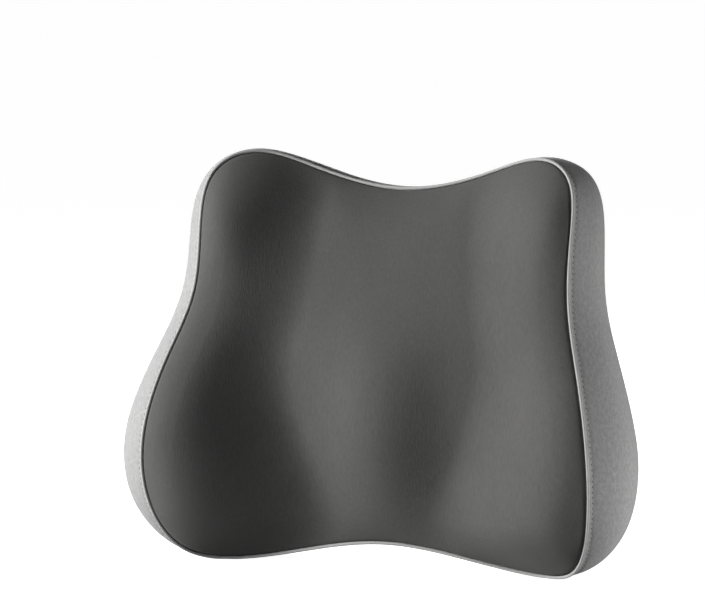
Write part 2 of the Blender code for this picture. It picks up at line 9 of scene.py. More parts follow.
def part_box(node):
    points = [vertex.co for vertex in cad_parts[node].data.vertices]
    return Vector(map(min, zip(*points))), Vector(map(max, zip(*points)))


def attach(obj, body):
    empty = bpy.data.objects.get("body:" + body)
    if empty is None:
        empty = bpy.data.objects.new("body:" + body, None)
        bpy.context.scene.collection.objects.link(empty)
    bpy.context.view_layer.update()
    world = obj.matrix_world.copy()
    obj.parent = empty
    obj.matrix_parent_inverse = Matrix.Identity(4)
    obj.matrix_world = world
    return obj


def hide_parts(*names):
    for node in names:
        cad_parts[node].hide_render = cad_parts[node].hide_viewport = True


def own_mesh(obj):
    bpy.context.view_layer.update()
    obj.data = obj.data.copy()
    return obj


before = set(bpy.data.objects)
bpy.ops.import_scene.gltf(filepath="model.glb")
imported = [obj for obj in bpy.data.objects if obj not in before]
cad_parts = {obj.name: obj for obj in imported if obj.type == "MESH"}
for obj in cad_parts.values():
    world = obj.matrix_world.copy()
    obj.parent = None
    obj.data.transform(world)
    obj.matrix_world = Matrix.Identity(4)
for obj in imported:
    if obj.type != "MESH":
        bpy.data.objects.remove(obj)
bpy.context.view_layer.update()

mm = 0.001

# the cushion's own lines in mm: x, z, forward of its section plane, as in the design of the frame
cushion = {
    "frontSeam": [(0, -140, 27), (83, -158.5, 22), (140, -169, 17), (177, -163, 46), (195, -119, 78),
                  (197, -61, 90), (182, 3, 72), (162, 55, 46), (163, 113, 42), (164, 163, 28),
                  (125, 183.5, 4), (69, 158.5, -10), (0, 142, -10)],
    "bulge": [(0, -142, -3), (76, -161, -1), (133, -172, 10), (186, -165, 32), (225, -120, 46),
              (230, -59, 49), (207.5, 3, 38), (183.5, 58, 15), (185, 117, 14), (177, 165, 0),
              (129, 188, -8), (68, 163.5, -20), (0, 145.5, -24)],
    "bulgeEase": 3, "bulgeWeight": 2, "backForward": -38, "backTaper": 0.4,
    # how far in the back seam lies from the bulge: at the sides, at top and bottom, and how those differ
    "backInSide": 2, "backInHigh": 5, "backInTilt": 3,
    # relief levels: how far forward the middle, hollow and wing are, spine width, wing start and end
    "levelTop": 180, "levelStep": 60,
    "levels": [(-14, -8, 26, 60, 58, 146), (9, 12, 50, 60, 62, 157), (27, 26, 58, 56, 68, 168),
               (48, 36, 80, 52, 78, 185), (53, 36, 92, 48, 64, 188), (39, 30, 84, 40, 38, 184),
               (26, 22, 34, 38, 36, 172)],
    "rollStart": 0.74, "rollPower": 2.4,
    "stations": 400, "cadStations": 72, "bandSamples": 90,
}
pipe = {"radius": 1.35, "cadRadius": 1.3, "sides": 14}


def selectOnly(thing):
    bpy.ops.object.select_all(action="DESELECT")
    thing.select_set(True)
    bpy.context.view_layer.objects.active = thing


def closedCurve(half, stations):
    half = np.array(half, float)
    controls = np.vstack([half, half[-2:0:-1] * (-1, 1, 1)])
    count = len(controls)
    place = np.arange(stations) * count / stations
    i = place.astype(int)
    f = (place - i)[:, None]
    weights = ((1 - f) ** 3, 3 * f ** 3 - 6 * f ** 2 + 4, -3 * f ** 3 + 3 * f ** 2 + 3 * f + 1, f ** 3)
    return sum(w * controls[(i + k - 1) % count] for k, w in enumerate(weights)) / 6


def smoothBetween(a, b, c, d, t):
    # Catmull-Rom: the share t of the way from b to c
    squared, cubed = 2 * a - 5 * b + 4 * c - d, 3 * b - a - 3 * c + d
    return 0.5 * (2 * b + (c - a) * t + squared * t * t + cubed * t ** 3)


def relief(x, z):
    # how far forward the foam's front is at x and z, read smoothly between the levels
    levels = np.array(cushion["levels"], float)
    place = np.clip((cushion["levelTop"] - z) / cushion["levelStep"], 0, len(levels) - 1.001)
    i = place.astype(int)
    f = (place - i)[..., None]
    a, b, c, d = (levels[np.clip(i + k, 0, len(levels) - 1)] for k in (-1, 0, 1, 2))
    values = smoothBetween(a, b, c, d, f)
    middle, hollow, wing, spine, start, end = (values[..., k] for k in range(6))
    ridge = np.exp(-(x / spine) ** 2)
    rise = np.clip((np.abs(x) - start) / (end - start), 0, 1)
    rise = rise * rise * (3 - 2 * rise)
    return hollow + (middle - hollow) * ridge + (wing - hollow) * rise


def frontRing(seam, fraction):
    share = np.clip(fraction - cushion["rollStart"], 0, 1) / (1 - cushion["rollStart"])
    drop = (seam[:, 2] - relief(seam[:, 0], seam[:, 1])) * share ** cushion["rollPower"]
    x, z = seam[:, 0] * fraction, seam[:, 1] * fraction
    return np.stack([x, z, relief(x, z) + drop], axis=1)


def outward(curve):
    along = np.roll(curve, -1, axis=0) - np.roll(curve, 1, axis=0)
    across = np.stack([along[:, 1], -along[:, 0], np.zeros(len(curve))], axis=1)
    return across / np.linalg.norm(across, axis=1, keepdims=True)


def backSeam(bulge):
    out = outward(bulge)
    back = bulge.copy()
    taper = cushion["backTaper"] * (bulge[:, 2] - cushion["backForward"])
    back[:, 0] -= out[:, 0] * (cushion["backInSide"] + taper)
    back[:, 1] -= out[:, 1] * (cushion["backInHigh"] + cushion["backInTilt"] * out[:, 1])
    back[:, 2] = cushion["backForward"]
    return back


def bandCorner(seam, bulge, back):
    w = cushion["bulgeWeight"]
    return (bulge - outward(bulge) * cushion["bulgeEase"]) * (1 + 1 / w) - (seam + back) / (2 * w)


def bandPoints(reached):
    # points on the band: reached holds rows of distances in mm from the front seam, one for each station
    s = np.linspace(0, 1, cushion["bandSamples"])[:, None]
    w = cushion["bulgeWeight"]
    weights = ((1 - s) ** 2, 2 * w * s * (1 - s), s ** 2)
    rows = np.zeros((*reached.shape, 3))
    lengths = np.zeros(len(seam))
    for k in range(len(seam)):
        line = (seam[k] * weights[0] + corner[k] * weights[1] + back[k] * weights[2]) / sum(weights)
        passed = np.concatenate([[0], np.cumsum(np.linalg.norm(np.diff(line, axis=0), axis=1))])
        lengths[k] = passed[-1]
        for axis in range(3):
            rows[:, k, axis] = np.interp(reached[:, k], passed, line[:, axis])
    return rows, lengths


cadSeam = closedCurve(cushion["frontSeam"], cushion["cadStations"])
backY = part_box("back_panel_upper")[1].y
depthZero = backY + cushion["backForward"] * mm
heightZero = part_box("front_piping")[1].z - (cadSeam[:, 1].max() + pipe["cadRadius"]) * mm


def toWorld(points):
    # from the cushion's own lines, x, z and forward in mm, to metres in the frame
    x, z, forward = np.moveaxis(np.asarray(points, float) * mm, -1, 0)
    return np.stack([x, depthZero - forward, z + heightZero], axis=-1)


seam = closedCurve(cushion["frontSeam"], cushion["stations"])
bulge = closedCurve(cushion["bulge"], cushion["stations"])
back = backSeam(bulge)
corner = bandCorner(seam, bulge, back)
reach = np.linalg.norm(seam[:, :2], axis=1)
closedSeam = np.vstack([seam, seam[:1]])
along = np.concatenate([[0], np.cumsum(np.linalg.norm(np.diff(closedSeam, axis=0), axis=1))])
print("frame read: back at", round(backY, 4), "m, front seam", round(along[-1]), "mm long")


def meshPiece(name, verts, faces, uvs=None):
    mesh = bpy.data.meshes.new(name)
    mesh.from_pydata([tuple(v) for v in verts], [], faces)
    if uvs:
        layer = mesh.uv_layers.new(name="clothUV")
        layer.data.foreach_set("uv", np.array(uvs, float).ravel())
    mesh.shade_smooth()
    made = bpy.data.objects.new(name, mesh)
    bpy.context.scene.collection.objects.link(made)
    return made


def gridNormals(grid):
    # unit outward normals of rows of points that close round the stations
    around = np.roll(grid, -1, axis=1) - np.roll(grid, 1, axis=1)
    down = np.gradient(grid, axis=0)
    normals = np.cross(down, around)
    normals /= np.maximum(np.linalg.norm(normals, axis=2, keepdims=True), 1e-12)
    return normals


def gridMesh(name, grid, uv=None, firstPoint=None, lastPoint=None):
    # rows of points that close round, with a point inside the first or last row where one is given
    rows, count = grid.shape[:2]
    verts = [p for row in grid for p in row]
    faces, uvs = [], []
    for r in range(rows - 1):
        for k in range(count):
            n = (k + 1) % count
            faces.append(((r + 1) * count + k, (r + 1) * count + n, r * count + n, r * count + k))
            if uv is not None:
                uvs += [uv[r + 1][k], uv[r + 1][k + 1], uv[r][k + 1], uv[r][k]]
    for tip, row in ((firstPoint, 0), (lastPoint, rows - 1)):
        if tip is None:
            continue
        verts.append(tip)
        turn = 1 if row == 0 else -1
        for k in range(count):
            ends = (row * count + k, row * count + (k + 1) % count)
            faces.append((len(verts) - 1, *ends[::turn]))
            if uv is not None:
                uvs += [tuple(np.mean(uv[row], axis=0)), *(uv[row][k], uv[row][k + 1])[::turn]]
    return meshPiece(name, verts, faces, uvs)


def applyModifiers(thing):
    selectOnly(thing)
    for modifier in list(thing.modifiers):
        bpy.ops.object.modifier_apply(modifier=modifier.name)


def thicken(thing, thickness, offset=-1.0):
    shell = thing.modifiers.new("thickness", "SOLIDIFY")
    shell.thickness = thickness
    shell.offset = offset
    applyModifiers(thing)


def newMaterial(name, colour, roughness, metallic=0.0):
    made = bpy.data.materials.new(name)
    made.use_nodes = True
    made.diffuse_color = (*colour, 1)
    shader = made.node_tree.nodes["Principled BSDF"]
    shader.inputs["Base Color"].default_value = (*colour, 1)
    shader.inputs["Roughness"].default_value = roughness
    shader.inputs["Metallic"].default_value = metallic
    return made, made.node_tree, shader


def dress(thing, material):
    thing.data.materials.clear()
    thing.data.materials.append(material)


def newGroup(name, inputs, *outputs):
    # each group takes a place on the piece and named numbers, and puts out named numbers
    group = bpy.data.node_groups.new(name, "ShaderNodeTree")
    group.interface.new_socket("Vector", in_out="INPUT", socket_type="NodeSocketVector")
    for label, value in inputs.items():
        socket = group.interface.new_socket(label, in_out="INPUT", socket_type="NodeSocketFloat")
        socket.default_value = value
    for label in outputs:
        group.interface.new_socket(label, in_out="OUTPUT", socket_type="NodeSocketFloat")
    return group, group.nodes.new("NodeGroupInput"), group.nodes.new("NodeGroupOutput")


def link(tree, source, target):
    tree.links.new(source, target)


def calc(tree, operation, a, b=None, c=None):
    made = tree.nodes.new("ShaderNodeMath")
    made.operation = operation
    for socket, value in zip(made.inputs, (a, b, c)):
        if value is None:
            continue
        if hasattr(value, "links"):
            link(tree, value, socket)
        else:
            socket.default_value = value
    return made.outputs[0]


def noiseNode(tree, vector, scale, detail, roughness, stretch=None):
    if stretch:
        mapping = tree.nodes.new("ShaderNodeMapping")
        mapping.inputs["Scale"].default_value = stretch
        link(tree, vector, mapping.inputs["Vector"])
        vector = mapping.outputs["Vector"]
    made = tree.nodes.new("ShaderNodeTexNoise")
    for name, number in (("Scale", scale), ("Detail", detail), ("Roughness", roughness)):
        made.inputs[name].default_value = number
    link(tree, vector, made.inputs["Vector"])
    return made.outputs["Fac"]


def objectPlace(tree):
    return tree.nodes.new("ShaderNodeTexCoord").outputs["Object"]


def clothPlace(tree):
    made = tree.nodes.new("ShaderNodeUVMap")
    made.uv_map = "clothUV"
    return made.outputs["UV"]


def spread(tree, value, low, high, toLow=0.0, toHigh=1.0):
    made = tree.nodes.new("ShaderNodeMapRange")
    for name, number in (("From Min", low), ("From Max", high), ("To Min", toLow), ("To Max", toHigh)):
        made.inputs[name].default_value = number
    link(tree, value, made.inputs["Value"])
    return made.outputs["Result"]


def makePileNap():
    # short brushed pile: fine upright streaks of fibre tips, with slow shading where the nap lies over
    group, inside, out = newGroup("pileNap", {"Streak": 0.5, "Patch": 0.5}, "Shade", "Height")
    place = inside.outputs["Vector"]
    streaks = noiseNode(group, place, scale=900, detail=3, roughness=0.6, stretch=(1, 1, 0.16))
    tips = noiseNode(group, place, scale=2400, detail=2, roughness=0.6, stretch=(1, 1, 0.55))
    patches = noiseNode(group, place, scale=26, detail=3, roughness=0.55, stretch=(1, 1, 0.5))
    shade = 1.0
    amounts = inside.outputs["Streak"], inside.outputs["Patch"], 0.5
    for part, amount in zip((streaks, patches, tips), amounts):
        shade = calc(group, "MULTIPLY_ADD", calc(group, "SUBTRACT", part, 0.5), amount, shade)
    link(group, shade, out.inputs["Shade"])
    height = calc(group, "MULTIPLY", calc(group, "ADD", tips, streaks), 0.6)
    link(group, height, out.inputs["Height"])
    return group


def makeKnitLoops():
    # wales of small V stitches; the vector is in metres along and across the cloth; Gap, one less the
    # height, marks where the colour is darkened as painted shade between the loops
    group, inside, out = newGroup("knitLoops", {"Wale": 0.0011, "Course": 0.0009}, "Height", "Gap")
    parts = group.nodes.new("ShaderNodeSeparateXYZ")
    link(group, inside.outputs["Vector"], parts.inputs[0])
    wale = calc(group, "DIVIDE", parts.outputs[0], inside.outputs["Wale"])
    slant = calc(group, "ABSOLUTE", calc(group, "SUBTRACT", calc(group, "FRACT", wale), 0.5))
    course = calc(group, "DIVIDE", parts.outputs[1], inside.outputs["Course"])
    course = calc(group, "ADD", course, calc(group, "MULTIPLY", slant, 1.2))
    ribbon = calc(group, "SINE", calc(group, "MULTIPLY", course, 2 * math.pi))
    ribbon = calc(group, "MULTIPLY_ADD", ribbon, 0.5, 0.5)
    halfWale = calc(group, "FRACT", calc(group, "MULTIPLY", wale, 2.0))
    hump = calc(group, "SINE", calc(group, "MULTIPLY", halfWale, math.pi))
    height = calc(group, "MULTIPLY", calc(group, "POWER", ribbon, 0.7), calc(group, "POWER", hump, 0.6))
    link(group, height, out.inputs["Height"])
    link(group, calc(group, "SUBTRACT", 1.0, height), out.inputs["Gap"])
    return group


def makeHeatherFlecks():
    # mixed light and dark fibres of a heather yarn
    group, inside, out = newGroup("heatherFlecks", {"Amount": 0.5}, "Shade")
    place = inside.outputs["Vector"]
    fine = noiseNode(group, place, scale=1500, detail=2, roughness=0.7, stretch=(0.45, 1, 1))
    broad = noiseNode(group, place, scale=420, detail=3, roughness=0.65, stretch=(0.5, 1, 1))
    both = calc(group, "ADD", calc(group, "SUBTRACT", fine, 0.5), calc(group, "SUBTRACT", broad, 0.5))
    link(group, calc(group, "MULTIPLY_ADD", both, inside.outputs["Amount"], 1.0), out.inputs["Shade"])
    return group


def makeRibWeave():
    # cross ribs of elastic webbing with its long warp yarns; its Shade is darker where the weave is low,
    # painted shade between the ribs and yarns
    group, inside, out = newGroup("ribWeave", {"Rib": 0.0016, "Warp": 0.0012}, "Height", "Shade")
    parts = group.nodes.new("ShaderNodeSeparateXYZ")
    link(group, inside.outputs["Vector"], parts.inputs[0])
    warp = calc(group, "DIVIDE", parts.outputs[1], inside.outputs["Warp"])
    shift = calc(group, "MULTIPLY", calc(group, "FLOOR", warp), 0.5)
    rib = calc(group, "ADD", calc(group, "DIVIDE", parts.outputs[0], inside.outputs["Rib"]), shift)
    ribs = calc(group, "ABSOLUTE", calc(group, "SINE", calc(group, "MULTIPLY", rib, math.pi)))
    yarn = calc(group, "ABSOLUTE", calc(group, "SINE", calc(group, "MULTIPLY", warp, math.pi)))
    height = calc(group, "MULTIPLY", ribs, calc(group, "POWER", yarn, 0.5))
    link(group, height, out.inputs["Height"])
    # painted shade: the colour goes darker where the weave is low, between the ribs and yarns
    link(group, calc(group, "MULTIPLY_ADD", height, 0.6, 0.6), out.inputs["Shade"])
    return group


def makeMouldGrain():
    # fine spark-eroded grain of moulded plastic and light rubbing on it
    group, inside, out = newGroup("mouldGrain", {}, "Height", "Rub")
    grain = noiseNode(group, inside.outputs["Vector"], scale=2600, detail=2, roughness=0.5)
    rub = noiseNode(group, inside.outputs["Vector"], scale=160, detail=4, roughness=0.65)
    link(group, grain, out.inputs["Height"])
    link(group, spread(group, rub, low=0.45, high=0.75), out.inputs["Rub"])
    return group


groups = {"nap": makePileNap(), "knit": makeKnitLoops(), "fleck": makeHeatherFlecks(),
          "rib": makeRibWeave(), "grain": makeMouldGrain()}


def useGroup(tree, name, vector, **values):
    made = tree.nodes.new("ShaderNodeGroup")
    made.node_tree = groups[name]
    link(tree, vector, made.inputs["Vector"])
    for key, value in values.items():
        made.inputs[key].default_value = value
    return made


def tint(tree, shader, colour, shade):
    # the base colour times a shade that changes over the surface
    mix = tree.nodes.new("ShaderNodeVectorMath")
    mix.operation = "SCALE"
    mix.inputs[0].default_value = colour
    link(tree, shade, mix.inputs["Scale"])
    link(tree, mix.outputs[0], shader.inputs["Base Color"])


def bump(tree, shader, height, strength, distance):
    made = tree.nodes.new("ShaderNodeBump")
    made.inputs["Strength"].default_value = strength
    made.inputs["Distance"].default_value = distance
    link(tree, height, made.inputs["Height"])
    link(tree, made.outputs["Normal"], shader.inputs["Normal"])


def velour(name, look):
    made, tree, shader = newMaterial(name, look["colour"], look["roughness"])
    nap = useGroup(tree, "nap", objectPlace(tree), Streak=look["streak"], Patch=look["patch"])
    tint(tree, shader, look["colour"], nap.outputs["Shade"])
    bump(tree, shader, nap.outputs["Height"], strength=look["bump"], distance=0.6 * mm)
    shader.inputs["Sheen Weight"].default_value = look["sheen"]
    shader.inputs["Sheen Roughness"].default_value = 0.45
    shader.inputs["Sheen Tint"].default_value = (0.8, 0.8, 0.79, 1)
    shader.inputs["Specular IOR Level"].default_value = 0.15
    return made


def knit(name, look):
    made, tree, shader = newMaterial(name, look["colour"], look["roughness"])
    cloth = clothPlace(tree)
    loops = useGroup(tree, "knit", cloth, Wale=look["wale"], Course=look["course"])
    flecks = useGroup(tree, "fleck", cloth, Amount=look["fleck"])
    # painted shade: the colour is darkened in the gaps between the knit loops
    gaps = calc(tree, "MULTIPLY_ADD", loops.outputs["Gap"], -look["gapPaintedShade"], 1.0)
    tint(tree, shader, look["colour"], calc(tree, "MULTIPLY", flecks.outputs["Shade"], gaps))
    bump(tree, shader, loops.outputs["Height"], strength=look["bump"], distance=0.4 * mm)
    shader.inputs["Sheen Weight"].default_value = look["sheen"]
    shader.inputs["Sheen Roughness"].default_value = 0.5
    shader.inputs["Specular IOR Level"].default_value = 0.2
    return made


def webbingCloth(name, look):
    made, tree, shader = newMaterial(name, look["colour"], look["roughness"])
    weave = useGroup(tree, "rib", clothPlace(tree), Rib=look["rib"], Warp=look["warp"])
    # painted shade between the ribs and yarns, from the weave's Shade
    tint(tree, shader, look["colour"], weave.outputs["Shade"])
    bump(tree, shader, weave.outputs["Height"], strength=look["bump"], distance=0.4 * mm)
    shader.inputs["Sheen Weight"].default_value = 0.03
    shader.inputs["Specular IOR Level"].default_value = 0.3
    return made


def rubbed(name, look):
    # moulded plastic or plated metal with a fine grain, its gloss and shade changed where it is handled
    made, tree, shader = newMaterial(name, look["colour"], look["roughness"], look["metallic"])
    grain = useGroup(tree, "grain", objectPlace(tree))
    rub = grain.outputs["Rub"]
    rough = calc(tree, "MULTIPLY_ADD", rub, look["rubRoughness"], look["roughness"])
    link(tree, rough, shader.inputs["Roughness"])
    tint(tree, shader, look["colour"], calc(tree, "MULTIPLY_ADD", rub, look["rubShade"], look["shade"]))
    bump(tree, shader, grain.outputs["Height"], strength=look["bump"], distance=look["bumpDepth"])
    return made


def foamCells(name, look):
    made, tree, shader = newMaterial(name, look["colour"], look["roughness"])
    cells = noiseNode(tree, objectPlace(tree), scale=900, detail=3, roughness=0.7)
    tint(tree, shader, look["colour"], spread(tree, cells, low=0.3, high=0.7, toLow=0.8, toHigh=1.05))
    bump(tree, shader, cells, strength=look["bump"], distance=0.8 * mm)
    return made


def thread(name, colour, roughness=0.6, twist=0.4):
    return webbingCloth(name, {"colour": colour, "roughness": roughness, "rib": 0.0003, "warp": 0.0004,
                               "bump": twist})


charcoal = velour("charcoalVelour", {"colour": (0.087, 0.0865, 0.085), "roughness": 0.95, "streak": 0.5,
                                     "patch": 0.22, "bump": 0.5, "sheen": 0.12})
# wale and course are the width and height of one knitted stitch in metres, rib and warp the webbing's
heather = knit("heatherKnit", {"colour": (0.37, 0.37, 0.368), "roughness": 0.92, "wale": 0.0012,
                               "course": 0.001, "fleck": 0.75, "gapPaintedShade": 0.25, "bump": 0.5, "sheen": 0.1})
pipingCloth = knit("pipingCloth", {"colour": (0.47, 0.47, 0.465), "roughness": 0.85, "wale": 0.0007,
                                   "course": 0.0006, "fleck": 0.35, "gapPaintedShade": 0.2, "bump": 0.35,
                                   "sheen": 0.1})
backCloth = knit("backCloth", {"colour": (0.075, 0.075, 0.074), "roughness": 0.9, "wale": 0.0017,
                               "course": 0.0014, "fleck": 0.3, "gapPaintedShade": 0.55, "bump": 0.8,
                               "sheen": 0.15})
linerCloth = knit("linerCloth", {"colour": (0.78, 0.78, 0.76), "roughness": 0.9, "wale": 0.001,
                                 "course": 0.0008, "fleck": 0.15, "gapPaintedShade": 0.2, "bump": 0.4,
                                 "sheen": 0.05})
webCloth = webbingCloth("elasticWeb", {"colour": (0.02, 0.02, 0.021), "roughness": 0.7, "rib": 0.0018,
                                       "warp": 0.0013, "bump": 0.8})
tapeCloth = webbingCloth("zipTapeCloth", {"colour": (0.04, 0.04, 0.042), "roughness": 0.85, "rib": 0.0009,
                                          "warp": 0.0007, "bump": 0.6})
bandThread = thread("sewingThread", (0.72, 0.72, 0.71))
# painted shade: a dark grey for the short flat marks laid between the stitches, standing in for the shade
# inside the needle holes
holeShade = thread("needleHoleShade", (0.14, 0.14, 0.14), roughness=0.9, twist=0.2)
strapThread = thread("strapThread", (0.22, 0.22, 0.22))
darkThread = thread("darkThread", (0.07, 0.07, 0.073))
plasticLook = {"colour": (0.03, 0.03, 0.032), "roughness": 0.48, "metallic": 0, "rubRoughness": -0.15,
               "rubShade": 0.35, "shade": 0.85, "bump": 0.25, "bumpDepth": 0.08 * mm}
plastic = rubbed("buckleAcetal", plasticLook)
coilNylon = rubbed("coilNylon", {**plasticLook, "roughness": 0.4, "rubRoughness": -0.1})
gunmetal = rubbed("gunmetal", {"colour": (0.4, 0.4, 0.41), "roughness": 0.28, "metallic": 1,
                               "rubRoughness": 0.18, "rubShade": -0.25, "shade": 1.05, "bump": 0.15,
                               "bumpDepth": 0.05 * mm})
foamLook = foamCells("memoryFoam", {"colour": (0.84, 0.8, 0.66), "roughness": 0.95, "bump": 0.6})
print("materials made")


# the foam pushes the cover out between its seams: cloth simulated on a coarser copy, held along its seams
swelling = {"pressure": 4.0, "frames": 20, "most": 1.5 * mm, "rowStep": 2, "stationStep": 4,
            "stiffness": 12.0, "quality": 5, "softenings": 30,
            "calm": 90 * mm}  # inside this radius each row is pushed more and more evenly


def swell(grid, heldRows, tip=None):
    rows = sorted({*range(0, len(grid), swelling["rowStep"]), len(grid) - 1})
    coarse = grid[rows][:, ::swelling["stationStep"]]
    trial = gridMesh("cloth_trial", coarse, firstPoint=tip)
    count = coarse.shape[1]
    held = trial.vertex_groups.new(name="held")
    for row in heldRows:
        start = (row % len(rows)) * count
        held.add(list(range(start, start + count)), 1, "REPLACE")
    cloth = trial.modifiers.new("cloth", "CLOTH")
    cloth.point_cache.frame_end = swelling["frames"]
    cloth.settings.quality = swelling["quality"]
    cloth.settings.tension_stiffness = swelling["stiffness"]
    cloth.settings.vertex_group_mass = "held"
    cloth.settings.use_pressure = True
    cloth.settings.uniform_pressure_force = swelling["pressure"]
    cloth.settings.effector_weights.gravity = 0
    for moment in range(1, swelling["frames"] + 1):
        bpy.context.scene.frame_set(moment)
    settled = trial.evaluated_get(bpy.context.evaluated_depsgraph_get()).data
    settledPlaces = np.array([v.co[:] for v in settled.vertices])
    settledPlaces = settledPlaces[:len(rows) * count].reshape(coarse.shape)
    bpy.context.scene.frame_set(1)
    bpy.data.objects.remove(trial, do_unlink=True)
    push = ((settledPlaces - coarse) * gridNormals(coarse)).sum(axis=2)
    print("cloth pushed out by up to", round(float(push.max()) / mm, 2), "mm")
    push = np.clip(push, 0, swelling["most"])  # the foam keeps it from moving inward
    middle = coarse.mean(axis=1, keepdims=True)
    wide = np.linalg.norm(coarse - middle, axis=2).mean(axis=1)[:, None]
    even = np.clip(1 - wide / swelling["calm"], 0, 1)
    push = push * (1 - even) + push.mean(axis=1, keepdims=True) * even
    return grid + gridNormals(grid) * spreadBack(push, rows, grid.shape[:2])[..., None]


def spreadBack(push, rows, shape):
    # the coarse copy's push, read at every row and station of the fine grid
    stations = np.arange(shape[1] + 1)
    known = np.append(stations[:-1:swelling["stationStep"]], shape[1])
    across = np.array([np.interp(stations[:-1], known, np.append(row, row[0])) for row in push])
    full = np.array([np.interp(np.arange(shape[0]), rows, line) for line in across.T]).T
    for softening in range(swelling["softenings"]):
        full = (np.roll(full, 1, axis=1) + 2 * full + np.roll(full, -1, axis=1)) / 4
        full[1:-1] = (full[:-2] + 2 * full[1:-1] + full[2:]) / 4
    return full


# the front panel: charcoal pile over the contoured foam, tucked in at the piping
frontPanel = {"thickness": 0.9 * mm, "tuck": 2.6, "meetsPiping": 1.0, "sag": 1.2, "sagReach": 2.3,
              "pucker": 0.12, "puckerPitch": 9.0, "puckerReach": 5,
              # rings as shares of the way out, evenly from one to another, then closing up on the seam
              "rings": (0.02, 0.86, 50), "rimRings": (0.135, 0.011, 26)}


def near(distance, fade):
    # 1 where the distance is nothing, falling away past the fade
    return np.exp(-(distance / fade) ** 2)


def flatCloth(rows):
    # cloth coordinates of a piece that lies across the view: its own x and z in metres
    return [[(p[0], p[2]) for p in (*row, row[0])] for row in rows]


def makeFrontPanel():
    inner = np.concatenate([np.linspace(*frontPanel["rings"]), 1 - np.geomspace(*frontPanel["rimRings"])])
    rings = [frontRing(seam, f) for f in inner]
    rings.append(frontRing(seam, 1 - frontPanel["meetsPiping"] / reach))
    plain = toWorld(np.array(rings))
    tip = toWorld((0, 0, relief(0.0, 0.0)))
    world = swell(plain, (-1,), tip)
    tip = tip + (world[0] - plain[0]).mean(axis=0)
    normals = gridNormals(world)
    distance = reach[None, :] * (1 - np.concatenate([inner, [1]]))[:, None]
    wave = np.sin(along[:-1] / frontPanel["puckerPitch"] * 2 * math.pi)[None, :]
    lift = frontPanel["pucker"] * wave * near(distance, frontPanel["puckerReach"])
    lift -= frontPanel["sag"] * near(distance, frontPanel["sagReach"])
    world = world + normals * (lift * mm)[..., None]
    tucked = world[-1] - normals[-1] * frontPanel["tuck"] * mm
    world = np.concatenate([world, [tucked]])
    made = gridMesh("front_cover", world, flatCloth(world), firstPoint=tip)
    thicken(made, frontPanel["thickness"])
    dress(made, charcoal)
    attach(made, "cushion")
    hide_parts("front_panel")


makeFrontPanel()
print("front panel made")

# sewing thread: one stitch, modelled once and copied along each line of sewing
stitch = {"length": 3.0 * mm, "pitch": 4.6 * mm, "radius": 0.42 * mm, "flatten": 0.75, "tilt": 0.12,
          "bluntness": 0.8, "sides": 6, "rings": 5, "lift": 0.1 * mm}


def oneStitch():
    bpy.ops.object.select_all(action="DESELECT")
    bpy.ops.mesh.primitive_uv_sphere_add(segments=stitch["sides"], ring_count=stitch["rings"], radius=1,
                                         location=(0, 0, 0))
    thing = bpy.context.object
    points = np.array([v.co[:] for v in thing.data.vertices])
    points[:, 2] = np.sign(points[:, 2]) * np.abs(points[:, 2]) ** stitch["bluntness"]
    faces = [tuple(f.vertices) for f in thing.data.polygons]
    bpy.data.objects.remove(thing, do_unlink=True)
    return points, faces


stitchPoints, stitchFaces = oneStitch()


def sewing(name, line, normals, material, closed=False, look=stitch, shift=0.5):
    # stitches lie end to end along the line, with small gaps; normals point out of the cloth
    line = np.asarray(line, float)
    normals = np.asarray(normals, float)
    if closed:
        line = np.vstack([line, line[:1]])
        normals = np.vstack([normals, normals[:1]])
    passed = np.concatenate([[0], np.cumsum(np.linalg.norm(np.diff(line, axis=0), axis=1))])
    count = max(1, round(passed[-1] / look["pitch"]))
    pitch = passed[-1] / count
    verts, faces = [], []
    for i in range(count):
        middle = (i + shift) * pitch
        reached = [middle + end * look["length"] / 2 for end in (-1, 1)]
        ends = [np.array([np.interp(at, passed, line[:, k]) for k in range(3)]) for at in reached]
        normal = np.array([np.interp(middle, passed, normals[:, k]) for k in range(3)])
        normal /= np.linalg.norm(normal)
        forward = ends[1] - ends[0]
        half = np.linalg.norm(forward) / 2
        forward /= 2 * half
        side = np.cross(normal, forward)
        forward = forward + side * look["tilt"]
        centre = (ends[0] + ends[1]) / 2
        base = len(verts)
        for q in stitchPoints:
            across = look["radius"] * (q[0] * side + q[1] * normal * look["flatten"])
            verts.append(centre + forward * q[2] * half + across)
        faces += [tuple(base + v for v in f) for f in stitchFaces]
    made = meshPiece(name, verts, faces)
    fixNormals(made)
    dress(made, material)
    return made


def fixNormals(thing, merge=0.000001):
    selectOnly(thing)
    bpy.ops.object.mode_set(mode="EDIT")
    bpy.ops.mesh.select_all(action="SELECT")
    bpy.ops.mesh.remove_doubles(threshold=merge)
    bpy.ops.mesh.normals_make_consistent(inside=False)
    bpy.ops.object.mode_set(mode="OBJECT")


def joinInto(first, *others):
    bpy.ops.object.select_all(action="DESELECT")
    for thing in (first, *others):
        thing.select_set(True)
    bpy.context.view_layer.objects.active = first
    bpy.ops.object.join()
    return first


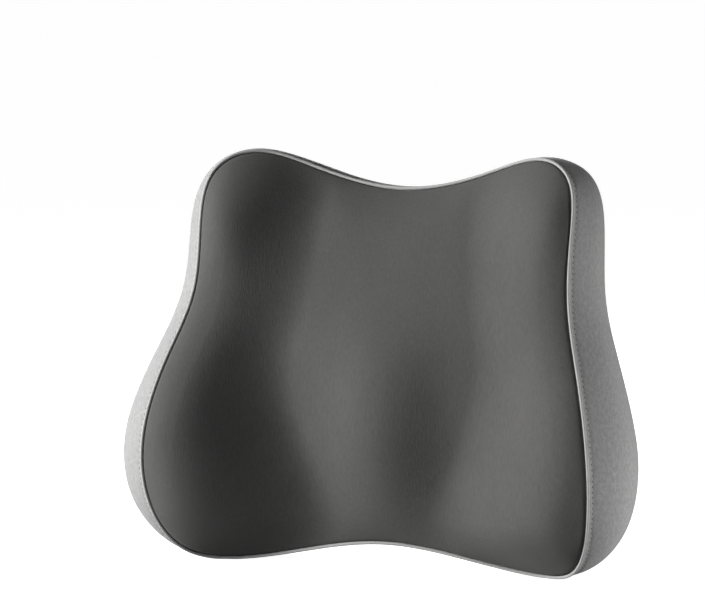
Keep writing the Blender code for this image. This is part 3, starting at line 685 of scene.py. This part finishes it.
# the side band: heather knit, sewn to the piping and to the back, with a line of stitches beside the piping
sideBand = {"thickness": 0.9 * mm, "hug": 0.75, "hugReach": 2.4, "tuck": 1.6, "tuckCloth": 2,
            "stitchAt": 3.5, "groove": 0.45, "grooveReach": 1.1, "threadLift": 0.12,
            "holeLength": 1.1 * mm, "holeFlatten": 0.3,
            "backDip": 0.6, "backDipReach": 2.2, "backTuck": 1.2, "backTuckCloth": 1.5,
            # where the band's two ends meet, under the middle of the cushion
            "joinDip": 0.45, "joinReach": 1.2, "joinFade": 8,
            # puckers: along the front seam and along the back seam, how far in and how wide
            "pucker": 0.12, "puckerPitch": 8.8, "puckerIn": 3, "puckerFront": 3, "puckerBack": 4,
            # slow folds, eased away towards both seams
            "fold": 0.4, "foldSize": 22, "foldEaseFront": 16, "foldEaseBack": 10,
            "nearRows": (1.0, 1.6, 2.2, 2.8, 3.2, 3.5, 3.9, 4.6, 5.9, 8.0), "rows": 42, "lastRow": 4,
            "endRows": (-2.4, -1.3, -0.5)}


def makeSideBand():
    lengths = bandPoints(np.zeros((1, len(seam))))[1]
    reached = [np.full(len(seam), d) for d in sideBand["nearRows"]]
    first = sideBand["nearRows"][-1]
    left = lengths - first - sideBand["lastRow"]
    reached += [first + left * share for share in np.linspace(0, 1, sideBand["rows"])[1:]]
    reached += [lengths + d for d in sideBand["endRows"]]
    reached = np.array(reached)
    world = swell(toWorld(bandPoints(reached)[0]), (0, -1))
    normals = gridNormals(world)
    fromFront, fromBack = reached, lengths[None, :] - reached
    fromJoin = np.minimum(along[:-1], along[-1] - along[:-1])[None, :]
    lift = sideBand["hug"] * near(fromFront, sideBand["hugReach"])
    lift = lift - sideBand["groove"] * near(fromFront - sideBand["stitchAt"], sideBand["grooveReach"])
    lift -= sideBand["backDip"] * near(fromBack, sideBand["backDipReach"])
    faded = np.clip(fromFront / sideBand["joinFade"], 0, 1)
    lift -= sideBand["joinDip"] * near(fromJoin, sideBand["joinReach"]) * faded
    wave = np.sin(along[:-1] / sideBand["puckerPitch"] * 2 * math.pi)[None, :]
    lift += sideBand["pucker"] * wave * (near(fromFront - sideBand["puckerIn"], sideBand["puckerFront"])
                                         + near(fromBack - sideBand["puckerIn"], sideBand["puckerBack"]))
    ease = np.minimum(fromFront / sideBand["foldEaseFront"], fromBack / sideBand["foldEaseBack"])
    ease = np.minimum(ease, 1)
    for r in range(world.shape[0]):
        for k in range(world.shape[1]):
            fold = noise.noise(Vector(world[r, k]) * sideBand["foldSize"])
            lift[r, k] += sideBand["fold"] * ease[r, k] * fold
    world = world + normals * (lift * mm)[..., None]
    stitchRow = sideBand["nearRows"].index(sideBand["stitchAt"])
    threadNormals = normals[stitchRow]
    threadLine = world[stitchRow] + threadNormals * sideBand["threadLift"] * mm
    start = world[0] - normals[0] * sideBand["tuck"] * mm
    end = world[-1] - normals[-1] * sideBand["backTuck"] * mm
    world = np.concatenate([[start], world, [end]])
    ends = reached[0] - sideBand["tuckCloth"], reached[-1] + sideBand["backTuckCloth"]
    across = np.concatenate([[ends[0]], reached, [ends[1]]]) * mm
    uv = [[(along[k] * mm, row[k % len(seam)]) for k in range(len(seam) + 1)] for row in across]
    made = gridMesh("side_band_cover", world, uv)
    thicken(made, sideBand["thickness"])
    dress(made, heather)
    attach(made, "cushion")
    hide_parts("side_band")
    thread = sewing("band_topstitch", threadLine, threadNormals, bandThread, closed=True)
    # painted shade: short flat dark marks set between the stitches, where the needle holes lie in shade
    holeLook = {**stitch, "length": sideBand["holeLength"], "flatten": sideBand["holeFlatten"]}
    holeShadeMarks = sewing("band_needle_holes", threadLine, threadNormals, holeShade, closed=True, look=holeLook,
                   shift=1.0)
    for piece in (thread, holeShadeMarks):
        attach(piece, "cushion")


makeSideBand()
print("side band made")


def makePiping():
    # a round cord along the front seam, with cloth coordinates in metres
    path = toWorld(seam)
    count, sides, radius = len(path), pipe["sides"], pipe["radius"] * mm
    tangent = np.roll(path, -1, axis=0) - np.roll(path, 1, axis=0)
    tangent /= np.linalg.norm(tangent, axis=1, keepdims=True)
    side = np.cross(tangent, (0, -1.0, 0))
    side /= np.linalg.norm(side, axis=1, keepdims=True)
    up = np.cross(side, tangent)
    angles = np.arange(sides) * 2 * math.pi / sides
    verts = [path[k] + radius * (math.cos(a) * side[k] + math.sin(a) * up[k])
             for k in range(count) for a in angles]
    faces, uvs = [], []
    around = radius * 2 * math.pi / sides
    ends = np.vstack([path, path[:1]])
    length = np.concatenate([[0], np.cumsum(np.linalg.norm(np.diff(ends, axis=0), axis=1))])
    for k in range(count):
        n = (k + 1) % count
        for j in range(sides):
            m = (j + 1) % sides
            faces.append((k * sides + j, n * sides + j, n * sides + m, k * sides + m))
            uvs += [(length[k], j * around), (length[k + 1], j * around), (length[k + 1], (j + 1) * around),
                    (length[k], (j + 1) * around)]
    piping = meshPiece("piping_cord", verts, faces, uvs)
    fixNormals(piping)
    dress(piping, pipingCloth)
    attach(piping, "cushion")
    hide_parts("front_piping")


makePiping()
print("piping made")

# foam core and the thin liner round it, both under the cover and a little smaller
insides = {"linerInset": 2.2, "linerBack": 6.0, "linerThickness": 0.4 * mm, "foamInset": 3.5,
           "foamBack": 7.2, "rimRound": 1.8, "slit": 150 * mm, "slitHeight": 84 * mm,
           "flatBag": (0.52, 0.9),  # the liner as it is cut
           # rings on the front, rows on the band and rings on the back, each from one share to another
           "frontRings": (0.04, 0.96, 22), "bandRows": (0.06, 1, 12), "backRings": (0.985, 0.012, 8),
           "every": 2}  # every second station of the seam is enough inside


def insideSkin(name, inset, backGap, slit):
    # the cover's own form drawn in by the inset, front to back, with either a slit or a closed back
    some = slice(None, None, insides["every"])
    ringSeam = seam[some]
    front = [frontRing(ringSeam, f) for f in np.linspace(*insides["frontRings"])]
    lengths = bandPoints(np.zeros((1, len(seam))))[1] - backGap - insides["rimRound"]
    shares = np.linspace(*insides["bandRows"])
    band = [row[some] for row in bandPoints(shares[:, None] * lengths[None, :])[0]]
    world = toWorld(np.array(front + band))
    world = world - gridNormals(world) * inset * mm
    world[..., 1] = np.minimum(world[..., 1], backY - backGap * mm)
    rim = world[-1].copy()
    rim[:, (0, 2)] -= outward(back)[some][:, :2] * insides["rimRound"] * mm
    rim[:, 1] = backY - backGap * mm
    towards = np.zeros_like(rim)
    towards[:, 0] = np.clip(rim[:, 0], -insides["slit"], insides["slit"]) if slit else 0
    towards[:, 1] = rim[:, 1]
    towards[:, 2] = insides["slitHeight"] if slit else heightZero
    rows = [towards + (rim - towards) * f for f in np.linspace(*insides["backRings"])]
    world = np.concatenate([world, rows])
    tip = toWorld((0, 0, relief(0.0, 0.0) - inset))
    return gridMesh(name, world, flatCloth(world), firstPoint=tip, lastPoint=None if slit else towards[0])


def makeInsides():
    foam = insideSkin("foam_block", insides["foamInset"], insides["foamBack"], slit=False)
    fixNormals(foam)
    dress(foam, foamLook)
    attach(foam, "cushion")
    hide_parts("foam_core")
    liner = insideSkin("liner_bag", insides["linerInset"], insides["linerBack"], slit=True)
    thicken(liner, insides["linerThickness"])
    dress(liner, linerCloth)
    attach(liner, "cushion")
    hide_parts("inner_liner")


makeInsides()
print("foam and liner made")

# the two back panels, dark knit pulled flat, either side of the zip
backPanel = {"inset": 1.3, "thickness": 0.9 * mm, "edgeDrop": 0.7, "edgeReach": 1.3, "rimDepth": 1.1 * mm,
             "rings": (0.03, 0.8, 16), "rimRings": (0.19, 0.0004, 10), "edgeSamples": 90,
             # a point inside each panel, above and below the zip, that its rings grow from
             "middleAbove": 110 * mm, "middleBelow": 30 * mm,
             "hem": 4.0 * mm, "hemCloth": 6 * mm, "hemEnd": 182 * mm, "hemSamples": 40}


def backSewing(name, line, material, look=stitch):
    # a line of stitches that lies on cloth facing the back
    raised = [(x, y + stitch["lift"], z) for x, y, z in line]
    return sewing(name, raised, [(0, 1, 0)] * len(line), material, look=look)


def backOutline(upper, cut):
    # the back seam drawn in a little, cut off straight at the zip
    ring = back.copy()
    ring[:, :2] -= outward(back)[:, :2] * backPanel["inset"]
    ring = toWorld(ring)
    keep = ring[:, 2] > cut if upper else ring[:, 2] < cut
    first = next(k for k in range(len(ring)) if keep[k] and not keep[k - 1])
    count = int(keep.sum())
    side = [ring[(first + k) % len(ring)] for k in range(count)]
    ends = []
    for inside, outside in ((first, first - 1), (first + count - 1, first + count)):
        a, b = ring[inside % len(ring)], ring[outside % len(ring)]
        ends.append(a + (b - a) * (cut - a[2]) / (b[2] - a[2]))
    across = [ends[1] + (ends[0] - ends[1]) * t for t in np.linspace(0, 1, backPanel["edgeSamples"])]
    return np.array(side + across)


def makeBackPanel(node, name):
    low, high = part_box(node)
    upper = high.z > heightZero
    cut = low.z if upper else high.z
    outline = backOutline(upper, cut)
    middle = np.array([0, backY, cut + (backPanel["middleAbove"] if upper else -backPanel["middleBelow"])])
    shares = [*np.linspace(*backPanel["rings"]), *(1 - np.geomspace(*backPanel["rimRings"]))]
    rows = np.array([middle + (outline - middle) * share for share in shares])
    left = np.linalg.norm(outline[None] - rows, axis=2) / mm
    rows[..., 1] = backY - backPanel["edgeDrop"] * mm * near(left, backPanel["edgeReach"])
    if not turnsForward(rows):
        rows = rows[:, ::-1]
        outline = outline[::-1]
    rim = rows[-1].copy()
    rim[:, 1] = backY - backPanel["rimDepth"]
    rows = np.concatenate([rows, [rim]])
    made = gridMesh(name, rows, flatCloth(rows), firstPoint=middle)
    thicken(made, backPanel["thickness"])
    dress(made, backCloth)
    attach(made, "cushion")
    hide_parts(node)
    hemHeight = cut + (backPanel["hem"] if upper else -backPanel["hem"])
    places = np.linspace(-backPanel["hemEnd"], backPanel["hemEnd"], backPanel["hemSamples"])
    thread = backSewing(name + "_hem_stitch", [(x, backY, hemHeight) for x in places], darkThread)
    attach(thread, "cushion")


def turnsForward(rows):
    # whether the panel's faces look to the back, +Y
    return np.cross(rows[0, 1] - rows[0, 0], rows[1, 0] - rows[0, 0])[1] > 0


makeBackPanel("back_panel_upper", "back_cover_upper")
makeBackPanel("back_panel_lower", "back_cover_lower")
print("back panels made")

# the zip: woven tapes, and a row of teeth on each
zipLook = {"toothPitch": 1.5 * mm, "toothWide": 0.36 * mm, "toothHigh": 0.72 * mm, "overlap": 0.42 * mm,
           "headSpread": 1.35, "headInset": 0.08 * mm, "headLong": 0.12 * mm, "nearHead": 0.05 * mm,
           "toothSides": 8, "sharpFrom": 50,
           "tapeBevel": 0.15 * mm, "tabEnd": 189.6 * mm, "tabGap": 0.4 * mm, "tabThickness": 0.8 * mm,
           "tabDrop": 0.25 * mm, "tabBevel": 0.3 * mm, "stopGap": 1.2 * mm, "tackIn": 1.6 * mm,
           "tackSamples": 12}


def roundedBox(name, low, high, bevel, segments):
    low, high = Vector(low), Vector(high)
    bpy.ops.object.select_all(action="DESELECT")
    bpy.ops.mesh.primitive_cube_add(size=1, location=(low + high) / 2)
    made = bpy.context.object
    made.name = name
    made.scale = high - low
    bpy.ops.object.transform_apply(location=True, rotation=True, scale=True)
    bpy.ops.object.mode_set(mode="EDIT")
    bpy.ops.mesh.select_all(action="SELECT")
    bpy.ops.mesh.bevel(offset=bevel, segments=segments)
    bpy.ops.object.mode_set(mode="OBJECT")
    flatUV(made)
    return made


def makeZipTape(node, name):
    made = roundedBox(name, *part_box(node), zipLook["tapeBevel"], 2)
    dress(made, tapeCloth)
    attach(made, "cushion")
    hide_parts(node)


def makeEndTab(name, inner, out):
    # a folded scrap of the back knit, sewn over each end of the tapes between the two panels
    low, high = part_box("back_panel_lower")[1].z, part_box("back_panel_upper")[0].z
    top, gap = backY - zipLook["tabDrop"], zipLook["tabGap"]
    ends = sorted((inner, out * zipLook["tabEnd"]))
    made = roundedBox(name, (ends[0], top - zipLook["tabThickness"], low + gap), (ends[1], top, high - gap),
                      zipLook["tabBevel"], 3)
    made.data.shade_smooth()
    dress(made, backCloth)
    x = inner + out * zipLook["tackIn"]
    heights = np.linspace(low + (high - low) * 0.1, high - (high - low) * 0.1, zipLook["tackSamples"])
    tack = backSewing(name + "_tack", [(x, top, z) for z in heights], darkThread)
    for piece in (made, tack):
        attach(piece, "cushion")


def flatUV(thing):
    mesh = thing.data
    while mesh.uv_layers:
        mesh.uv_layers.remove(mesh.uv_layers[0])
    layer = mesh.uv_layers.new(name="clothUV")
    for loop in mesh.loops:
        spot = mesh.vertices[loop.vertex_index].co
        layer.data[loop.index].uv = (spot.x, spot.z)


def makeTeeth(node, name, up):
    # one tooth: a rod across the tape edge with a spread head, then copied along the zip
    low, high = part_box(node)
    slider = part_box("zip_slider")
    head = (slider[0].z + slider[1].z) / 2 - up * zipLook["overlap"]
    root = high.z if up > 0 else low.z
    count = round((high.x - low.x) / zipLook["toothPitch"]) - 1
    start = low.x + zipLook["toothPitch"] * (0.5 if up > 0 else 1.0)
    bpy.ops.object.select_all(action="DESELECT")
    bpy.ops.mesh.primitive_cylinder_add(vertices=zipLook["toothSides"], radius=1, depth=abs(root - head),
                                        location=(start, (low.y + high.y) / 2, (root + head) / 2))
    made = bpy.context.object
    made.name = name
    made.scale = (zipLook["toothWide"], zipLook["toothHigh"], 1)
    bpy.ops.object.transform_apply(location=True, rotation=True, scale=True)
    bpy.ops.object.mode_set(mode="EDIT")
    bm = bmesh.from_edit_mesh(made.data)
    for face in bm.faces:
        face.select = all(abs(vert.co.z - head) < zipLook["nearHead"] for vert in face.verts)
    bmesh.update_edit_mesh(made.data)
    bpy.ops.mesh.inset(thickness=zipLook["headInset"])
    bpy.ops.mesh.extrude_region_move(TRANSFORM_OT_translate={"value": (0, 0, -up * zipLook["headLong"])})
    bpy.ops.mesh.select_all(action="DESELECT")
    bm = bmesh.from_edit_mesh(made.data)
    for vert in bm.verts:
        if abs(vert.co.z - head) < zipLook["nearHead"]:
            vert.co.x = start + (vert.co.x - start) * zipLook["headSpread"]
    bmesh.update_edit_mesh(made.data)
    bpy.ops.object.mode_set(mode="OBJECT")
    row = made.modifiers.new("along the zip", "ARRAY")
    row.use_relative_offset = False
    row.use_constant_offset = True
    row.constant_offset_displace = (zipLook["toothPitch"], 0, 0)
    row.count = count
    applyModifiers(made)
    made.data.shade_smooth()
    made.data.set_sharp_from_angle(angle=math.radians(zipLook["sharpFrom"]))
    dress(made, coilNylon)
    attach(made, "cushion")
    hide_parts(node)


for half, up in (("upper", 1), ("lower", -1)):
    makeZipTape("zip_tape_" + half, "zip_woven_tape_" + half)
    makeTeeth("zip_coil_" + half, "zip_teeth_" + half, up)
makeEndTab("zip_end_tab_left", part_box("zip_top_stop_upper")[0].x - zipLook["stopGap"], -1)
makeEndTab("zip_end_tab_right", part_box("zip_bottom_stop")[1].x + zipLook["stopGap"], 1)
for node in ("zip_top_stop_upper", "zip_top_stop_lower", "zip_bottom_stop", "zip_slider", "zip_pull"):
    dress(bpy.data.objects[node], gunmetal)
print("zip made")

# the two elastic chair straps, doubled back through the buckle bars
strap = {"web": 1.2 * mm, "gap": 0.3 * mm, "bar": 3 * mm, "barDepth": 2.4 * mm, "edgeRound": 0.5 * mm,
         "travel": 32 * mm, "step": 1.6 * mm, "sharpFrom": 60,
         # places out from the buckle's bar: lying flat, lifting off, under the bar, over it, down on itself
         "flat": (40 * mm, 15 * mm), "lifts": (9 * mm, 0.2 * mm), "under": 3 * mm,
         "over": (4 * mm, 0.2 * mm), "falls": (11 * mm, 0.6 * mm), "lands": 17 * mm,
         "sewnFlat": 20 * mm, "turnSteps": 8, "socketTail": 36 * mm, "plugTail": 62 * mm,
         "boxLong": 16 * mm, "boxTall": 17 * mm, "boxIn": 3 * mm, "loopIn": 1.5 * mm, "boxSamples": 5,
         "stitch": {**stitch, "length": 1.9 * mm, "pitch": 2.5 * mm, "radius": 0.26 * mm}}


def webPath(barX, endX, tail, buckleY):
    # x and y from the sewn end along the back, round the bar, and back over itself
    side = math.copysign(1, endX - barX)
    flat = backY + strap["gap"] + strap["web"] / 2
    turn = math.hypot(strap["bar"], strap["barDepth"]) / 2 + strap["gap"] + strap["web"] / 2
    over = flat + strap["web"] + strap["gap"]
    (lifts, liftHigh), (above, aboveLow), (falls, fallHigh) = (strap[k] for k in ("lifts", "over", "falls"))
    goes = [*((out, flat) for out in strap["flat"]), (lifts, flat + liftHigh)]
    goes.append((strap["under"], buckleY - turn))
    for a in np.linspace(0, math.pi, strap["turnSteps"] + 1):
        goes.append((-turn * math.sin(a), buckleY - turn * math.cos(a)))
    goes += [(above, buckleY + turn - aboveLow), (falls, over + fallHigh), (strap["lands"], over),
             ((tail + strap["lands"]) / 2, over), (tail, over)]
    return np.array([(endX, flat), (endX - side * strap["sewnFlat"], flat)]
                    + [(barX + side * out, y) for out, y in goes])


def smoothLine(points, step):
    # a Catmull-Rom line through the points, read at even steps
    padded = np.vstack([2 * points[0] - points[1], points, 2 * points[-1] - points[-2]])
    fine = []
    for k in range(len(points) - 1):
        a, b, c, d = padded[k:k + 4]
        for t in np.linspace(0, 1, 12, endpoint=False):
            fine.append(smoothBetween(a, b, c, d, t))
    fine.append(points[-1])
    fine = np.array(fine)
    passed = np.concatenate([[0], np.cumsum(np.linalg.norm(np.diff(fine, axis=0), axis=1))])
    places = np.linspace(0, passed[-1], max(2, round(passed[-1] / step)))
    return np.stack([np.interp(places, passed, fine[:, k]) for k in range(fine.shape[1])], axis=1), places


def webbing(name, path, lengths, height, width):
    # the strip's section is a thin rectangle with rounded selvedges, carried along the path
    tangent = np.gradient(path, axis=0)
    tangent /= np.linalg.norm(tangent, axis=1, keepdims=True)
    normal = np.stack([-tangent[:, 1], tangent[:, 0]], axis=1)
    thick, half = strap["web"] / 2, width / 2
    r = strap["edgeRound"]
    quarter = [(0, thick), (half - r, thick), (half - 0.15 * r, thick * 0.6)]
    edge = [*quarter, (half, 0), *((x, -y) for x, y in quarter[::-1])]
    section = [(-half + r, thick), *edge, *((-x, y) for x, y in edge[-2:1:-1])]
    sides = len(section)
    verts, faces, uvs = [], [], []
    for k in range(len(path)):
        for across, depth in section:
            x, y = path[k] + normal[k] * depth
            verts.append((x, y, height + across))
    for k in range(len(path) - 1):
        for j in range(sides):
            m = (j + 1) % sides
            faces.append((k * sides + j, k * sides + m, (k + 1) * sides + m, (k + 1) * sides + j))
            u0, u1 = lengths[k], lengths[k + 1]
            v0, v1 = section[j][0], section[m][0]
            uvs += [(u0, v0), (u0, v1), (u1, v1), (u1, v0)]
    for k in (0, len(path) - 1):
        faces.append(tuple(k * sides + j for j in range(sides)))
        uvs += [(lengths[k], section[j][0]) for j in range(sides)]
    made = meshPiece(name, verts, faces, uvs)
    fixNormals(made)
    made.data.set_sharp_from_angle(angle=math.radians(strap["sharpFrom"]))
    dress(made, webCloth)
    return made


def boxStitch(name, x, height, y, out):
    # a sewn box with a cross in it
    a, b = x, x - out * strap["boxLong"]
    low, high = height - strap["boxTall"] / 2, height + strap["boxTall"] / 2
    sides = (((a, low), (b, low)), ((b, low), (b, high)), ((b, high), (a, high)), ((a, high), (a, low)),
             ((a, low), (b, high)), ((a, high), (b, low)))
    made = []
    for i, (p, q) in enumerate(sides):
        line = [(p[0] + (q[0] - p[0]) * t, y, p[1] + (q[1] - p[1]) * t)
                for t in np.linspace(0, 1, strap["boxSamples"])]
        made.append(backSewing(f"{name}_{i}", line, strapThread, strap["stitch"]))
    return made


def makeStrap(level):
    for side, out in (("left", -1), ("right", 1)):
        node = f"{level}_strap_{side}"
        low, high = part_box(node)
        height = (low.z + high.z) / 2
        bodyLow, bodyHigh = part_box(f"{level}_buckle_" + ("socket" if side == "left" else "plug"))
        buckleY = (bodyLow.y + bodyHigh.y) / 2
        barX = bodyLow.x + strap["bar"] / 2 if side == "left" else bodyHigh.x - strap["bar"] / 2
        endX = low.x if side == "left" else high.x
        tail = strap["socketTail"] if side == "left" else strap["plugTail"]
        path, lengths = smoothLine(webPath(barX, endX, tail, buckleY), strap["step"])
        made = webbing(f"{level}_webbing_{side}", path, lengths, height, high.z - low.z)
        flat = backY + strap["gap"] + strap["web"]
        sewn = boxStitch(made.name + "_end", endX - out * strap["boxIn"], height, flat, out)
        if side == "left":
            over = flat + strap["gap"] + strap["web"]
            loopX = barX + out * (tail - strap["loopIn"])
            sewn += boxStitch(made.name + "_loop", loopX, height, over, out)
        joinInto(made, *sewn)
        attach(made, "cushion")
        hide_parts(node)
        if side == "right":
            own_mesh(made)
    for piece in ("socket", "plug", "arm_top", "arm_bottom"):
        dress(bpy.data.objects[f"{level}_buckle_{piece}"], plastic)


makeStrap("upper")
makeStrap("lower")
print("straps and buckles made")


# the camera, and how far left of the cushion's middle and above it the camera aims
camera = {"azimuth": 20.0, "elevation": 5.1, "roll": -0.78, "distance": 4.347, "lens": 266.3694,
          "aimLeft": 37.8 * mm, "aimUp": 54.6333 * mm, "sensor": 36.0, "seesTo": 100}


def directionTo(azimuth, elevation):
    # towards something seen this far round from the front and this far up, in radians
    flat = math.cos(elevation)
    return Vector((math.sin(azimuth) * flat, -math.cos(azimuth) * flat, math.sin(elevation)))


def makeCamera():
    a, e, r = (math.radians(camera[k]) for k in ("azimuth", "elevation", "roll"))
    right = Vector((math.cos(a), math.sin(a), 0))
    toEye = directionTo(a, e)
    up = toEye.cross(right)
    right, up = right * math.cos(r) - up * math.sin(r), right * math.sin(r) + up * math.cos(r)
    centre = Vector((0, depthZero, heightZero))
    eye = centre + toEye * camera["distance"]
    aim = centre + up * camera["aimUp"] - right * camera["aimLeft"]
    toEye = (eye - aim).normalized()
    right = up.cross(toEye).normalized()
    up = toEye.cross(right)
    data = bpy.data.cameras.new("camera")
    data.sensor_width = camera["sensor"]
    data.lens = camera["lens"]
    data.clip_end = camera["seesTo"]
    made = bpy.data.objects.new("camera", data)
    made.matrix_world = Matrix((right, up, toEye)).transposed().to_4x4()
    made.location = eye
    bpy.context.scene.collection.objects.link(made)
    bpy.context.scene.camera = made


# each light: degrees round from the front, degrees up, metres away, size, watts
lights = {"keyLeft": (-60, 9, 2.5, 0.45, 86), "keyHigh": (-72, 36, 2.5, 0.6, 20),
          "frontSoft": (-22, 6, 2.5, 0.7, 14), "fillRight": (95, 1, 2.5, 0.6, 22.5),
          "underRight": (88, -13, 0.62, 0.04, 1.05), "softBack": (208, 16, 2.6, 0.9, 90)}
# the floor glows only to the camera's eye, so it lights nothing
stage = {"floor": (0.3, 0.3, 0.3), "floorRoughness": 0.9, "floorGlow": 0.985, "floorWide": 80,
         "ambient": 0.006, "lightsAim": 0.17}


def areaLight(name, azimuth, elevation, distance, size, power):
    toLight = directionTo(math.radians(azimuth), math.radians(elevation))
    data = bpy.data.lights.new(name, "AREA")
    data.shape = "DISK"
    data.size = size
    data.energy = power
    made = bpy.data.objects.new(name, data)
    made.location = Vector((0, 0, stage["lightsAim"])) + toLight * distance
    made.rotation_euler = toLight.to_track_quat("Z", "Y").to_euler()
    bpy.context.scene.collection.objects.link(made)


def makeStage():
    bpy.ops.mesh.primitive_plane_add(size=stage["floorWide"], location=(0, 0, 0))
    floor = bpy.context.object
    floor.name = "floor"
    made, tree, shader = newMaterial("paleFloor", stage["floor"], stage["floorRoughness"])
    seen = tree.nodes.new("ShaderNodeLightPath").outputs["Is Camera Ray"]
    shader.inputs["Emission Color"].default_value = (1, 1, 1, 1)
    link(tree, calc(tree, "MULTIPLY", seen, stage["floorGlow"]), shader.inputs["Emission Strength"])
    dress(floor, made)
    world = bpy.data.worlds.new("studio")
    bpy.context.scene.world = world
    world.use_nodes = True
    tree = world.node_tree
    background = tree.nodes["Background"]
    seen = tree.nodes.new("ShaderNodeLightPath").outputs["Is Camera Ray"]
    strength = calc(tree, "MULTIPLY_ADD", seen, 1 - stage["ambient"], stage["ambient"])
    link(tree, strength, background.inputs["Strength"])
    background.inputs["Color"].default_value = (1, 1, 1, 1)
    for name, (azimuth, elevation, distance, size, power) in lights.items():
        areaLight(name, azimuth, elevation, distance, size, power)
    bpy.context.scene.view_settings.view_transform = "Standard"


makeCamera()
makeStage()
print("camera, lights and floor set")
